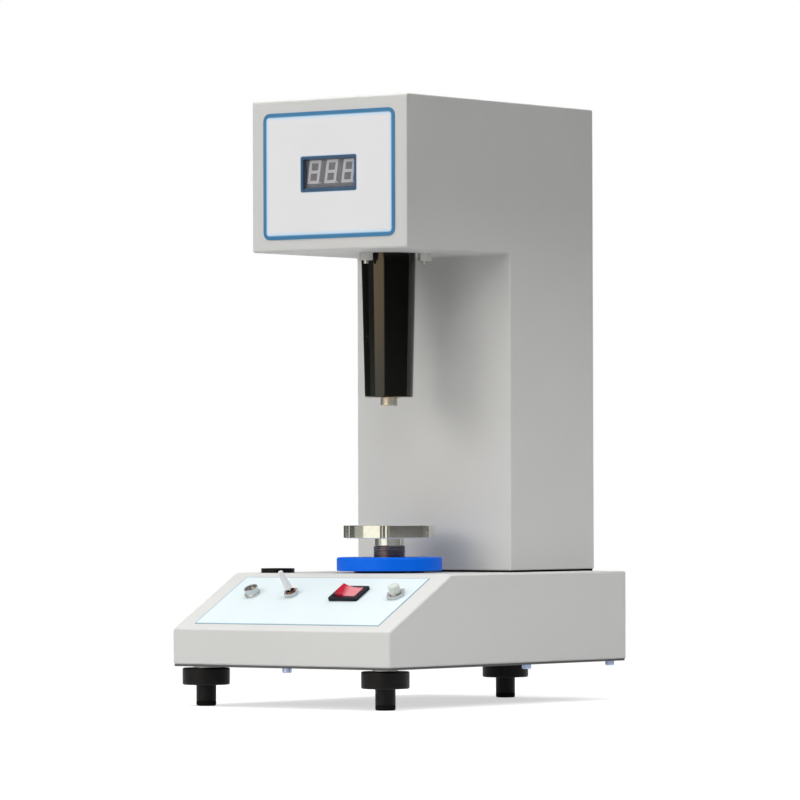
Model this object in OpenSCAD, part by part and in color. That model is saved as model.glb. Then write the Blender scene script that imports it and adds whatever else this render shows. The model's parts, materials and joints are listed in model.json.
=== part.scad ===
// Digital cone penetrometer for the liquid limit of soil: a wedge-fronted base box on
// three levelling feet, a column with an overhanging head, a measuring rod that drops out
// of a black sleeve, and a sample stage raised by a blue hand-wheel nut. Millimetres.
// X runs to the right, Y to the rear, Z up. The origin is on the bench under the centre.

/* [Base box] */
// Width of the base box
base_w = 162; // [154:1:190]
// Depth of the base box
base_d = 235; // [228:1:260]
// Height of the base box, bottom plate included
base_h = 54.3; // [51:0.1:64]
// Height of the base box's upright front, bottom plate included
front_h = 22; // [20:0.1:28]
// Run of the sloping control panel, front to rear
slope_run = 59.2; // [54:0.1:62]
// Sheet thickness of the base cover
base_sheet = 1.5; // [1:0.1:2]
// Outside radius of the folds in the sheet metal
bend_r = 1.5; // [1:0.1:2.5]
// Width of the flanges turned in at the open edges of the sheet metal
flange_w = 12; // [11:0.5:14]
// Thickness of the bottom plate
plate_t = 1.2; // [1:0.1:2]
// How far the bottom plate's edge lies inside the walls
plate_inset = 0.8; // [0.3:0.1:2]
// How far the rear panel lies inside the rear edge of the base cover
rear_inset = 2.3; // [2.1:0.1:4]

/* [Levelling feet] */
// Diameter of a foot's finger disc
foot_disc_d = 28; // [24:1:30]
// Thickness of a foot's finger disc
foot_disc_t = 10; // [7:0.5:12]
// Diameter of a foot's spindle
foot_spindle_d = 11.8; // [10:0.1:14]
// Length of a foot's spindle under its disc, rubber tip included
foot_spindle_h = 12.5; // [10:0.5:16]
// Height of the rubber tip under the spindle
foot_tip_h = 3; // [2.5:0.5:4]
// Diameter of the moulded-in stud
foot_stud_d = 8; // [6:0.5:9]
// Length of the stud above the disc
foot_stud_len = 19.5; // [18:0.5:21]
// Gap between a foot's disc and the edges of the base, seen from below
foot_edge_gap = 0.1; // [0.1:0.1:6]

/* [Column and head] */
// Width of the column and head
col_w = 116; // [108:1:122]
// Depth of the column, front to rear
col_d = 85.5; // [76:0.5:88]
// Distance from the base's rear edge to the column's rear edge
col_rear_gap = 1; // [1:0.5:6]
// How far the head overhangs the column's front
head_overhang = 101; // [96:0.5:108]
// Height of the head
head_h = 90.2; // [89:0.1:100]
// Clear height from the top of the base to the underside of the head
head_clear = 190.7; // [180:0.1:215]
// Sheet thickness of the column and head
col_sheet = 1.2; // [1:0.1:1.8]
// Thickness of the gasket under the column
gasket_t = 1.2; // [0.8:0.1:2.5]
// How far the gasket lies inside the column's walls
gasket_inset = 0.8; // [0.2:0.1:2]
// How far the rear cover lies inside the column's rear edge
cover_inset = 2.6; // [2.4:0.1:4]

/* [Display] */
// Margin from the head's sides to the display film
film_side = 8.7; // [6:0.1:12]
// Margin from the head's top edge to the display film
film_top = 7.9; // [6:0.1:10]
// Margin from the head's bottom edge to the display film
film_bottom = 7.1; // [6:0.1:10]
// Thickness of the printed films
film_t = 0.35; // [0.2:0.05:0.6]
// Corner radius of the display film
film_r = 4.5; // [3:0.5:6]
// Width of the window cut in the head
window_w = 41.6; // [40:0.1:46]
// Height of the window cut in the head
window_h = 21; // [20.6:0.1:24]
// Height of the window's centre above the underside of the head
window_up = 45.3; // [43:0.1:48]
// Width of the film's printed frame around the clear area
window_frame = 1.7; // [1:0.1:2.5]
// Height of one digit of the display
digit_h = 14.2; // [12:0.1:14.4]
// Distance from one digit of the display to the next
digit_pitch = 12.7; // [12.4:0.1:12.8]

/* [Sleeve and measuring rod] */
// Distance from the front of the head to the working axis
axis_setback = 57.4; // [55:0.1:60]
// Length of the sleeve under the head
sleeve_len = 86; // [82:0.5:94]
// Diameter of the sleeve at the head
sleeve_top_d = 32.6; // [30:0.1:34]
// Diameter of the sleeve at its lower end
sleeve_low_d = 28.7; // [28:0.1:30]
// Bore of the sleeve
sleeve_bore = 22; // [20:0.5:23]
// Thickness of the sleeve's flange inside the head
sleeve_flange_t = 4; // [3:0.5:6]
// Circle on which the sleeve's bolts lie
sleeve_pcd = 43.5; // [43:0.5:48]
// Diameter of the measuring rod
rod_d = 8; // [6:0.5:8.5]
// Diameter of the cone holder at the rod's lower end
holder_d = 10; // [9.5:0.5:14]
// Length of the cone holder under the sleeve
holder_len = 5; // [4.5:0.5:10]
// Tapping bore for the cone's thread
cone_thread_d = 4.2; // [3.3:0.1:5]
// Travel of the measuring rod
rod_drop = 24; // [18:1:24]

/* [Sample lift] */
// Diameter of the hand-wheel nut
wheel_d = 63; // [60:0.5:66]
// Thickness of the hand-wheel nut
wheel_t = 8.1; // [6:0.1:10]
// Thickness of the thrust washer under the hand-wheel
thrust_t = 1.2; // [0.8:0.1:2]
// Outside diameter of the lifting screw
screw_d = 19; // [16:0.5:20]
// Length of lifting screw that shows above the hand-wheel
screw_up = 6.8; // [6:0.1:12]
// Diameter of the stage's neck
neck_d = 17.1; // [14:0.1:18]
// Height of the stage's neck
neck_h = 4.6; // [3:0.1:6]
// Diameter of the sample stage
stage_d = 54.6; // [50:0.1:60]
// Thickness of the sample stage
stage_t = 7.5; // [6:0.1:10]
// Number of notches round the rim of the stage
stage_lobes = 6; // [5:1:8]
// Radius of a rim notch
flute_r = 2.5; // [2.4:0.1:6]
// Depth of a rim notch
flute_depth = 3; // [1:0.1:3.4]
// Angle of the middle between two rim notches
stage_turn = -28.4; // [-180:0.1:180]
// How far the lifting screw can go down from here
lift_down = 10; // [4:1:10]
// Clearance between the lowest screw position and the bottom plate
screw_floor_gap = 2.5; // [1:0.5:6]

/* [Control panel] */
// Margin from the base's sides to the control film
panel_side = 12.4; // [8:0.1:14]
// Distance along the slope from its front edge to the control film
panel_front = 6.5; // [4:0.1:8]
// Distance along the slope from the control film to its rear edge
panel_rear = 5.4; // [4:0.1:6.5]
// Distance from the film's left edge to the signal socket
socket_in = 19.5; // [14:0.1:20]
// Distance of the toggle switch left of the centre line
toggle_left = 19.6; // [12:0.1:22]
// Distance of the rocker switch right of the centre line
rocker_right = 23.2; // [16:0.1:24]
// Distance from the film's right edge to the push button
button_in = 10.5; // [10:0.1:14]
// Distance of the round controls from the slope's rear edge
round_back = 26; // [24:0.1:27]
// Distance of the rocker switch from the slope's rear edge
rocker_back = 25.7; // [22:0.1:26]
// Width of the rocker switch's bezel
rocker_w = 21; // [20.6:0.1:23]
// Depth of the rocker switch's bezel
rocker_d = 15; // [14:0.1:16]
// Thickness of the rocker switch's bezel
rocker_t = 2; // [1.5:0.1:2.5]
// Tilt of the rocker paddle to either side
rocker_tilt = 12; // [8:1:12]
// Lean of the toggle lever to either side
toggle_tilt = 11.5; // [9:0.5:12]
// Length of the white grip on the toggle lever
grip_len = 11.8; // [10:0.1:16]
// Diameter of the grip at its foot
grip_foot_d = 4.8; // [4:0.1:5]
// Diameter of the grip at its tip
grip_tip_d = 3.1; // [3:0.1:4]
// Diameter of the push button's cap
cap_d = 6.9; // [6:0.1:7]
// Height of the push button's cap above its bushing
cap_up = 4.6; // [4:0.1:6]
// Travel of the push button
cap_travel = 1.6; // [1:0.1:2]
// Outside diameter of the signal socket's barrel
barrel_d = 8.4; // [8:0.1:9]
// Height of the signal socket's barrel above the film
barrel_up = 4.6; // [4:0.1:7]
// Bore of the signal socket
socket_bore = 3.6; // [3.5:0.1:4]

/* [Bubble level] */
// Diameter of the bubble level
level_d = 20; // [18:0.5:24]
// Height of the bubble level
level_t = 2.7; // [2.5:0.1:4]
// Distance from the base's left side to the bubble level's centre
level_in = 20; // [16:0.5:22]
// Distance from the slope's rear edge to the bubble level's centre
level_back = 15.3; // [13:0.1:18]

/* [Hidden] */

$fn = 64;
eps = 0.02;          // overshoot of a cut past the face it opens
slip = 0.03;         // radial clearance of a running fit
seat_gap = 0.03;     // radial clearance of a pressed or screwed fit
fold_steps = 4;      // flats round one fold of the sheet metal
pcb_t = 1.6;         // thickness of a circuit board
m3_d = 3;            // M3 thread
m3_hole = 3.2;       // clearance hole for M3
m3_head_d = 6;       // pan head of an M3 screw
m3_head_t = 1.8;
m3_nut_flats = 5.5;
m3_nut_t = 2.4;
m3_cap_d = 5.5;
m3_cap_t = 2.8;
cross_len = 3.4;     // cross recess in a screw's head
cross_w = 0.7;
m4_d = 4;            // M4 thread
m4_hole = 4.3;       // clearance hole for M4

// Heights of the main planes
insert_lip_t = 1;                                   // lip of a threaded insert
base_z = foot_spindle_h + foot_disc_t + insert_lip_t;
floor_z = base_z + plate_t;                         // upper face of the bottom plate
base_top = base_z + base_h;
roof_z = base_top - base_sheet;                     // underside of the base's top sheet
col_z = base_top + gasket_t;
head_z = base_top + head_clear;
head_top = head_z + head_h;
head_floor_z = head_z + col_sheet;                  // upper face of the head's bottom sheet

// Depths of the main planes
front_y = -base_d / 2;
rear_y = base_d / 2;
slope_y = front_y + slope_run;                      // rear edge of the slope
col_rear_y = rear_y - col_rear_gap;
col_y = col_rear_y - col_d;                         // front of the column
head_y = col_y - head_overhang;                     // front of the head
axis_y = head_y + axis_setback;                     // working axis, at X = 0
panel_y = rear_y - rear_inset - base_sheet;         // inner face of the rear panel
cover_y = col_rear_y - cover_inset - col_sheet;     // inner face of the column's rear cover

// Slope of the control panel
slope_rise = base_h - front_h;
slope_angle = atan2(slope_rise, slope_run);
slope_len = norm([slope_run, slope_rise]);
slope_z = base_z + front_h;                         // height of the slope's front edge

// ---- 2D helpers ----

function unit(v) = v / norm(v);

// Points of an arc of radius r that rounds the corner b between a and c
function corner_arc(a, b, c, r) =
    let (u = unit(a - b), w = unit(c - b), half = acos(u * w) / 2,
         mid = b + unit(u + w) * r / sin(half),
         p = b + u * r / tan(half) - mid, q = b + w * r / tan(half) - mid,
         start = atan2(p[1], p[0]), turn = atan2(p[0] * q[1] - p[1] * q[0], p * q))
    [for (i = [0:fold_steps]) mid + r * [cos(start + turn * i / fold_steps),
                                         sin(start + turn * i / fold_steps)]];

// A closed outline with corner i rounded to radii[i], or left sharp where that is 0
function rounded(pts, radii) =
    let (n = len(pts))
    [for (i = [0:n - 1], p = radii[i] == 0 ? [pts[i]]
        : corner_arc(pts[(i + n - 1) % n], pts[i], pts[(i + 1) % n], radii[i])) p];

// A closed counter-clockwise outline moved inwards by t
function inset(pts, t) =
    let (n = len(pts))
    [for (i = [0:n - 1])
        let (a = pts[(i + n - 1) % n], b = pts[i], c = pts[(i + 1) % n],
             u = unit(b - a), w = unit(c - b), turn = u[0] * w[1] - u[1] * w[0])
        b + t * (w - u) / turn];

// Rectangle centred on the origin with rounded corners
module rounded_rect(w, h, r) {
    polygon(rounded([[-w, -h] / 2, [w, -h] / 2, [w, h] / 2, [-w, h] / 2], [r, r, r, r]));
}

// Extrudes an outline drawn in Y and Z along X, centred
module along_x(w) {
    rotate([90, 0, 90]) translate([0, 0, -w / 2]) linear_extrude(w) children();
}

module rod(d, h) {
    cylinder(d = d, h = h);
}

module ring(outer, inner, h) {
    difference() {
        cylinder(d = outer, h = h);
        translate([0, 0, -eps]) cylinder(d = inner, h = h + 2 * eps);
    }
}

// Hexagon of the given width over its flats
module hex(flats, h) {
    cylinder(d = flats / cos(30), h = h, $fn = 6);
}

module hex_nut(flats, bore, h) {
    difference() {
        hex(flats, h);
        translate([0, 0, -eps]) cylinder(d = bore, h = h + 2 * eps);
    }
}

// Pan-head screw with its shank pointing down from the head's seat at z = 0
module pan_screw(shank) {
    difference() {
        rotate_extrude() polygon([[0, 0], [m3_head_d / 2, 0], [m3_head_d / 2, m3_head_t * 0.5],
            [m3_head_d * 0.38, m3_head_t * 0.88], [m3_head_d * 0.2, m3_head_t], [0, m3_head_t]]);
        for (a = [0, 90])
            rotate([0, 0, a]) translate([-cross_len / 2, -cross_w / 2, m3_head_t * 0.45])
                cube([cross_len, cross_w, m3_head_t]);
    }
    translate([0, 0, -shank]) rod(m3_d, shank);
}

// Cap-head screw with its shank pointing down from the head's seat at z = 0
module cap_screw(shank) {
    difference() {
        rotate_extrude() polygon([[0, 0], [m3_cap_d / 2, 0], [m3_cap_d / 2, m3_cap_t - 0.5],
            [m3_cap_d / 2 - 0.5, m3_cap_t], [0, m3_cap_t]]);
        translate([0, 0, m3_cap_t - 1.3]) hex(2.5, 1.3 + eps);
    }
    translate([0, 0, -shank]) rod(m3_d, shank);
}

// ---- Base box ----

base_outline = [[front_y, floor_z], [rear_y, floor_z], [rear_y, base_top],
                [slope_y, base_top], [front_y, slope_z]];
foot_x = base_w / 2 - foot_disc_d / 2 - foot_edge_gap;
foot_y = base_d / 2 - foot_disc_d / 2 - foot_edge_gap;
foot_places = [[-foot_x, -foot_y], [foot_x, -foot_y], [0, foot_y]];
insert_body_d = foot_stud_d + 2.8;
insert_room = 1;                         // room round an insert in the folded flanges
flange_gap = 0.3;                        // gap between the cover's flange and the rear panel's
panel_gap = 0.2;                         // gap between the rear panel and the cover
screw_in = 7;                            // bottom screws, from the walls' outer faces
rear_fold_y = panel_y - flange_w;        // front edge of the rear panel's bottom flange
side_screw_x = base_w / 2 - screw_in;
side_screw_y = 24.6;
rear_screw_y = panel_y - 4;
bottom_screw_places = [[0, front_y + screw_in],
                       [-side_screw_x, side_screw_y], [side_screw_x, side_screw_y],
                       [-side_screw_x, rear_screw_y], [side_screw_x, rear_screw_y]];
wheel_hub_d = 26;                        // hub of the hand-wheel, below the base's top sheet
bearing_d = wheel_hub_d + 2 * slip;
housing_screw_pcd = 50;                  // screws at the corners of the lift housing's flange
housing_edge = 4;                        // from those screws to the flange's edges
housing_side = housing_screw_pcd * cos(45) + 2 * housing_edge;
wire_hole_d = 24;                        // wires from the base up into the column
wire_hole_y = col_y + col_d * 0.5;
col_bolt_side = 7;                       // column bolts inside the column's sides, front and rear
col_bolt_front = 20;
col_bolt_rear = 25;
col_bolt_x = col_w / 2 - col_bolt_side;
col_bolt_y = [col_y + col_bolt_front, col_rear_y - col_bolt_rear];
col_bolt_places = [for (x = [-col_bolt_x, col_bolt_x], y = col_bolt_y) [x, y]];

// Places its children on the slope: x across, s up the slope, local Z out of the panel
module on_slope(x, s) {
    translate([x, front_y, slope_z]) rotate([slope_angle, 0, 0]) translate([0, s, 0]) children();
}

film_w = base_w - 2 * panel_side;
film_s0 = panel_front;
film_s1 = slope_len - panel_rear;
socket_x = -film_w / 2 + socket_in;
toggle_x = -toggle_left;
rocker_x = rocker_right;
button_x = film_w / 2 - button_in;
round_s = slope_len - round_back;
rocker_s = slope_len - rocker_back;
toggle_bush_d = 6;
button_bush_d = 8;
rocker_body_w = rocker_w - 2;
rocker_body_d = rocker_d - 2.2;
panel_fit = 0.15;                        // clearance of a control in its panel hole

// The holes that the controls need, through the panel and its film
module control_cuts(depth) {
    on_slope(socket_x, round_s) translate([0, 0, -depth]) rod(barrel_d + 2 * panel_fit, 2 * depth);
    on_slope(toggle_x, round_s) translate([0, 0, -depth])
        rod(toggle_bush_d + 2 * panel_fit, 2 * depth);
    on_slope(button_x, round_s) translate([0, 0, -depth])
        rod(button_bush_d + 2 * panel_fit, 2 * depth);
    on_slope(rocker_x, rocker_s)
        cube([rocker_body_w + 2 * panel_fit, rocker_body_d + 2 * panel_fit, 2 * depth], center = true);
}

module base_cover() color([0.86, 0.87, 0.86]) {
    inner_w = base_w - 2 * base_sheet;
    flange_end = rear_fold_y - flange_gap;
    difference() {
        along_x(base_w) polygon(rounded(base_outline, [0, 0, 0, bend_r, bend_r]));
        along_x(inner_w) polygon(inset(concat(
            [[front_y, base_z - base_sheet], [rear_y + 2 * base_sheet, base_z - base_sheet],
             [rear_y + 2 * base_sheet, base_top]], [base_outline[3], base_outline[4]]), base_sheet));
        translate([0, axis_y, roof_z - eps]) rod(wheel_hub_d + 1, base_sheet + 2 * eps);
        for (a = [45:90:315])
            translate([0, axis_y, roof_z - eps]) rotate([0, 0, a])
                translate([housing_screw_pcd / 2, 0, 0]) {
                    rod(m3_hole, base_sheet + 2 * eps);
                    translate([0, 0, base_sheet - csk_t])
                        cylinder(d1 = m3_hole + 0.1, d2 = csk_d + 0.4, h = csk_t + 2 * eps);
                }
        for (p = col_bolt_places)
            translate([p[0], p[1], roof_z - eps]) rod(m4_hole, base_sheet + 2 * eps);
        translate([0, wire_hole_y, roof_z - eps]) rod(wire_hole_d, base_sheet + 2 * eps);
        control_cuts(base_sheet * 2);
    }
    difference() {
        union() {
            for (side = [-1, 1])
                translate([side * (inner_w / 2 - (flange_w - base_sheet) / 2),
                    (front_y + flange_end) / 2, floor_z + base_sheet / 2])
                    cube([flange_w - base_sheet + eps, flange_end - front_y - base_sheet, base_sheet],
                        center = true);
            translate([-inner_w / 2 - eps / 2, front_y + base_sheet - eps / 2, floor_z])
                cube([inner_w + eps, flange_w - base_sheet + eps, base_sheet]);
        }
        for (p = foot_places)
            translate([p[0], p[1], floor_z - eps])
                rod(insert_body_d + 2 * insert_room, base_sheet + 2 * eps);
        for (p = bottom_screw_places)
            translate([p[0], p[1], floor_z - eps]) rod(m3_d + 2 * seat_gap, base_sheet + 2 * eps);
    }
}

module base_rear_panel() color([0.86, 0.87, 0.86]) {
    panel_w = base_w - 2 * base_sheet - 2 * panel_gap;
    difference() {
        union() {
            translate([-panel_w / 2, panel_y, floor_z])
                cube([panel_w, base_sheet, roof_z - floor_z - panel_gap]);
            translate([-panel_w / 2, rear_fold_y, floor_z])
                cube([panel_w, flange_w + eps, base_sheet]);
        }
        translate([foot_places[2][0], foot_places[2][1], floor_z - eps])
            rod(insert_body_d + 2 * insert_room, base_sheet + 2 * eps);
        for (p = bottom_screw_places)
            translate([p[0], p[1], floor_z - eps]) rod(m3_d + 2 * seat_gap, base_sheet + 2 * eps);
        translate([inlet_x, panel_y, inlet_z])
            cube([inlet_body_w + 2 * panel_gap, 4 * base_sheet, inlet_body_h + 2 * panel_gap],
                center = true);
        for (x = [-1, 1])
            translate([inlet_x + x * inlet_screw_pitch / 2, panel_y - eps, inlet_z])
                rotate([-90, 0, 0]) rod(m3_d + 2 * seat_gap, base_sheet + 2 * eps);
    }
}

module bottom_plate() color([0.80, 0.81, 0.80]) {
    difference() {
        translate([-base_w / 2 + plate_inset, front_y + plate_inset, base_z])
            cube([base_w - 2 * plate_inset, base_d - 2 * plate_inset, plate_t]);
        for (p = foot_places)
            translate([p[0], p[1], base_z - eps]) rod(insert_body_d + 2 * seat_gap, plate_t + 2 * eps);
        for (p = bottom_screw_places)
            translate([p[0], p[1], base_z - eps]) rod(m3_hole, plate_t + 2 * eps);
        for (p = board_posts)
            translate([p[0], p[1], base_z - eps]) rod(m3_hole, plate_t + 2 * eps);
        for (y = transformer_bolt_y)
            translate([transformer_x, y, base_z - eps]) rod(m3_hole, plate_t + 2 * eps);
    }
}

module bottom_screws() color("silver") {
    for (p = bottom_screw_places)
        translate([p[0], p[1], base_z]) rotate([180, 0, 0]) cap_screw(plate_t + base_sheet + 2);
}

// ---- Levelling feet ----

insert_h = 6.5;                           // threaded part of an insert above the plate

module foot_inserts() color("silver") {
    for (p = foot_places)
        translate([p[0], p[1], base_z]) difference() {
            union() {
                translate([0, 0, -insert_lip_t]) rod(insert_body_d + 4, insert_lip_t);
                translate([0, 0, -eps]) rod(insert_body_d, plate_t + insert_h + eps);
            }
            translate([0, 0, -insert_lip_t - eps])
                rod(foot_stud_d + 2 * slip, plate_t + insert_h + insert_lip_t + 2 * eps);
        }
}

pin_d = 5;                                // stem of the rubber tip, in the spindle's socket
pin_h = 5;

module foot(place) color([0.10, 0.10, 0.11]) {
    translate([place[0], place[1], 0]) difference() {
        union() {
            rotate_extrude() polygon([[0, foot_tip_h], [foot_spindle_d / 2, foot_tip_h],
                [foot_spindle_d / 2, foot_spindle_h], [foot_disc_d / 2 - 0.6, foot_spindle_h],
                [foot_disc_d / 2, foot_spindle_h + 0.6],
                [foot_disc_d / 2, foot_spindle_h + foot_disc_t - 0.6],
                [foot_disc_d / 2 - 0.6, foot_spindle_h + foot_disc_t],
                [0, foot_spindle_h + foot_disc_t]]);
            translate([0, 0, foot_spindle_h]) rod(foot_stud_d, foot_disc_t + foot_stud_len);
        }
        translate([0, 0, foot_tip_h - eps]) rod(pin_d + 2 * slip, pin_h + 0.1 + eps);
    }
}

module foot_tip(place) color([0.06, 0.06, 0.06]) {
    translate([place[0], place[1], 0]) {
        rotate_extrude() polygon(concat([[0, 0]],
            [for (i = [0:6]) [foot_spindle_d / 2 - 1 + sin(i * 15), 1 - cos(i * 15)]],
            [[foot_spindle_d / 2, foot_tip_h], [0, foot_tip_h]]));
        translate([0, 0, foot_tip_h - eps]) rod(pin_d, pin_h + eps);
    }
}

module front_left_foot() foot(foot_places[0]);
module front_right_foot() foot(foot_places[1]);
module rear_foot() foot(foot_places[2]);
module front_left_tip() foot_tip(foot_places[0]);
module front_right_tip() foot_tip(foot_places[1]);
module rear_tip() foot_tip(foot_places[2]);

// ---- Column and head ----

col_inner_w = col_w - 2 * col_sheet;
col_outline = [[col_y, col_z], [col_rear_y, col_z], [col_rear_y, head_top],
               [head_y, head_top], [head_y, head_z], [col_y, head_z]];
cover_screw_x = col_inner_w / 2 - 5;
cover_screw_end = 25;
cover_screw_z = [col_z + cover_screw_end, (col_z + head_top) / 2, head_top - cover_screw_end];
cover_screw_places = [for (x = [-cover_screw_x, cover_screw_x], z = cover_screw_z) [x, z]];
sleeve_bolt_angles = [-90, 30, 150];
magnet_post_angles = [-30, 90, 210];
post_pcd = sleeve_pcd;
window_z = head_z + window_up;

module column_gasket() color([0.08, 0.08, 0.08]) {
    frame = flange_w + 2;
    difference() {
        translate([-col_w / 2 + gasket_inset, col_y + gasket_inset, base_top])
            cube([col_w - 2 * gasket_inset, col_d - 2 * gasket_inset, gasket_t]);
        translate([-col_w / 2 + frame, col_y + frame, base_top - eps])
            cube([col_w - 2 * frame, col_d - 2 * frame, gasket_t + 2 * eps]);
        for (p = col_bolt_places)
            translate([p[0], p[1], base_top - eps]) rod(m4_hole, gasket_t + 2 * eps);
    }
}

module column_housing() color([0.86, 0.87, 0.86]) {
    open_y = col_rear_y + 2 * col_sheet;
    difference() {
        along_x(col_w) polygon(rounded(col_outline, [0, 0, bend_r, bend_r, bend_r, bend_r]));
        along_x(col_inner_w) polygon(inset([[col_y, col_z - 2 * col_sheet],
            [open_y, col_z - 2 * col_sheet], [open_y, head_top], [head_y, head_top],
            [head_y, head_z], [col_y, head_z]], col_sheet));
        translate([0, axis_y, head_z - eps]) rod(sleeve_top_d + 0.8, col_sheet + 2 * eps);
        for (a = sleeve_bolt_angles)
            translate([0, axis_y, head_z - eps]) rotate([0, 0, a])
                translate([sleeve_pcd / 2, 0, 0]) rod(m3_hole, col_sheet + 2 * eps);
        translate([0, head_y, window_z]) cube([window_w, 4 * col_sheet, window_h], center = true);
    }
    difference() {
        union() {
            for (side = [-1, 1])
                translate([side * (col_inner_w / 2 - (flange_w - col_sheet) / 2),
                    (col_y + cover_y) / 2, col_z + col_sheet / 2])
                    cube([flange_w - col_sheet + eps, cover_y - col_y - col_sheet, col_sheet],
                        center = true);
            translate([-col_inner_w / 2 - eps / 2, col_y + col_sheet - eps / 2, col_z])
                cube([col_inner_w + eps, flange_w - col_sheet + eps, col_sheet]);
        }
        for (p = col_bolt_places)
            translate([p[0], p[1], col_z - eps]) rod(m4_hole, col_sheet + 2 * eps);
    }
    difference() {
        for (side = [-1, 1])
            translate([side * (col_inner_w / 2 - (flange_w - col_sheet) / 2), cover_y - col_sheet / 2,
                (col_z + head_top) / 2])
                cube([flange_w - col_sheet + eps, col_sheet, head_top - col_z - 2 * col_sheet + eps],
                    center = true);
        for (p = cover_screw_places)
            translate([p[0], cover_y - col_sheet - eps, p[1]]) rotate([-90, 0, 0])
                rod(m3_d + 2 * seat_gap, col_sheet + 2 * eps);
    }
}

// Each bolt hangs through the column's flange, the gasket and the base's top into its nut
module column_bolts() color("silver") {
    head_flats = 7;
    head_t = 2.8;
    nut_t = 3.2;
    shank = col_sheet + gasket_t + base_sheet + nut_t + 0.8;
    for (p = col_bolt_places) {
        translate([p[0], p[1], col_z + col_sheet]) {
            hex(head_flats, head_t);
            translate([0, 0, -shank]) rod(m4_d, shank + eps);
        }
        translate([p[0], p[1], roof_z - nut_t]) hex_nut(head_flats, m4_d + 2 * seat_gap, nut_t);
    }
}

module rear_cover() color([0.86, 0.87, 0.86]) {
    cover_gap = 0.3;
    cover_w = col_inner_w - 2 * cover_gap;
    z0 = col_z + col_sheet + cover_gap;
    z1 = head_top - col_sheet - cover_gap;
    vent_w = 44;
    vent_h = 3;
    vent_pitch = 9;
    difference() {
        translate([-cover_w / 2, cover_y, z0]) cube([cover_w, col_sheet, z1 - z0]);
        for (p = cover_screw_places)
            translate([p[0], cover_y - eps, p[1]]) rotate([-90, 0, 0])
                rod(m3_hole, col_sheet + 2 * eps);
        for (i = [0:5])
            translate([0, cover_y - eps, head_z + 20 + i * vent_pitch]) rotate([-90, 0, 0])
                linear_extrude(col_sheet + 2 * eps) rounded_rect(vent_w, vent_h, vent_h / 2 - 0.01);
    }
}

// The pan-head screws of the column's rear cover and of the mains inlet
module rear_screws() color("silver") {
    end = 3;
    for (p = cover_screw_places)
        translate([p[0], cover_y + col_sheet, p[1]]) rotate([-90, 0, 0])
            pan_screw(col_sheet * 2 + end);
    for (x = [-1, 1])
        translate([inlet_x + x * inlet_screw_pitch / 2,
            panel_y + base_sheet + inlet_flange_t - m3_head_t, inlet_z]) rotate([-90, 0, 0])
            pan_screw(base_sheet + end);
}

// ---- Display ----

clear_w = window_w - 2 * window_frame;
clear_h = window_h - 2 * window_frame;
pane_gap = 0.3;                          // clearance of the window pane in the sheet
led_recess = 2.8;                        // display face behind the film
led_depth = 8;
led_w = 3 * digit_pitch - 0.4;
led_h = digit_h + 4.8;
led_y = head_y + led_recess;
board_y = led_y + led_depth;             // front of the display board
display_board_w = 80;
display_board_h = 44;
chip = [14, 3, 8];                       // circuits on the back of the display board
chip_pitch = 22;
display_posts = [for (x = [-1, 1], z = [-1, 1])
    [x * (display_board_w / 2 - 5), window_z + z * (display_board_h / 2 - 5)]];

module display_film() color([0.90, 0.91, 0.93]) {
    w = col_w - 2 * film_side;
    h = head_h - film_top - film_bottom;
    translate([0, head_y, head_z + film_bottom + h / 2]) rotate([90, 0, 0]) linear_extrude(film_t)
        difference() {
            rounded_rect(w, h, film_r);
            translate([0, window_z - head_z - film_bottom - h / 2])
                square([clear_w, clear_h], center = true);
        }
}

module display_window() color([0.55, 0.60, 0.66, 0.4]) {
    translate([0, head_y + col_sheet / 2, window_z])
        cube([window_w - 2 * pane_gap, col_sheet, window_h - 2 * pane_gap], center = true);
}

module led_display() color([0.45, 0.43, 0.43]) {
    translate([-led_w / 2, led_y, window_z - led_h / 2]) cube([led_w, led_depth, led_h]);
}

module display_board() color([0.13, 0.42, 0.25]) {
    difference() {
        translate([-display_board_w / 2, board_y, window_z - display_board_h / 2])
            cube([display_board_w, pcb_t, display_board_h]);
        for (p = display_posts)
            translate([p[0], board_y - eps, p[1]]) rotate([-90, 0, 0]) rod(m3_hole, pcb_t + 2 * eps);
    }
    for (x = [-1, 0, 1])
        translate([x * chip_pitch - chip[0] / 2, board_y + pcb_t - eps, window_z - chip[2] / 2])
            cube(chip + [0, eps, 0]);
}

post_flats = m3_nut_flats;

// Hexagonal standoff with a screw through the board at its far end
module standoff(h) {
    hex(post_flats, h);
    translate([0, 0, h - eps]) rod(m3_d, pcb_t + 1 + eps);
    translate([0, 0, h + pcb_t]) cylinder(d = m3_head_d, h = m3_head_t);
}

// The standoffs of the display board and of the main board
module board_standoffs() color("silver") {
    for (p = display_posts)
        translate([p[0], head_y + col_sheet, p[1]]) rotate([-90, 0, 0])
            standoff(board_y - head_y - col_sheet);
    for (p = board_posts)
        translate([p[0], p[1], floor_z]) {
            standoff(board_up);
            translate([0, 0, -plate_t + eps]) rod(m3_d, plate_t);
        }
}

// ---- Sleeve ----

sleeve_flange_rim = 5.5;                 // flange outside the circle of its bolts
sleeve_flange_d = sleeve_pcd + 2 * sleeve_flange_rim;
sleeve_end_z = head_z - sleeve_len;
sleeve_top_z = head_floor_z + sleeve_flange_t;
bush_len = 42;
set_screw_up = 34.3;                     // set screw above the sleeve's lower end
set_screw_angle = -109;

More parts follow.
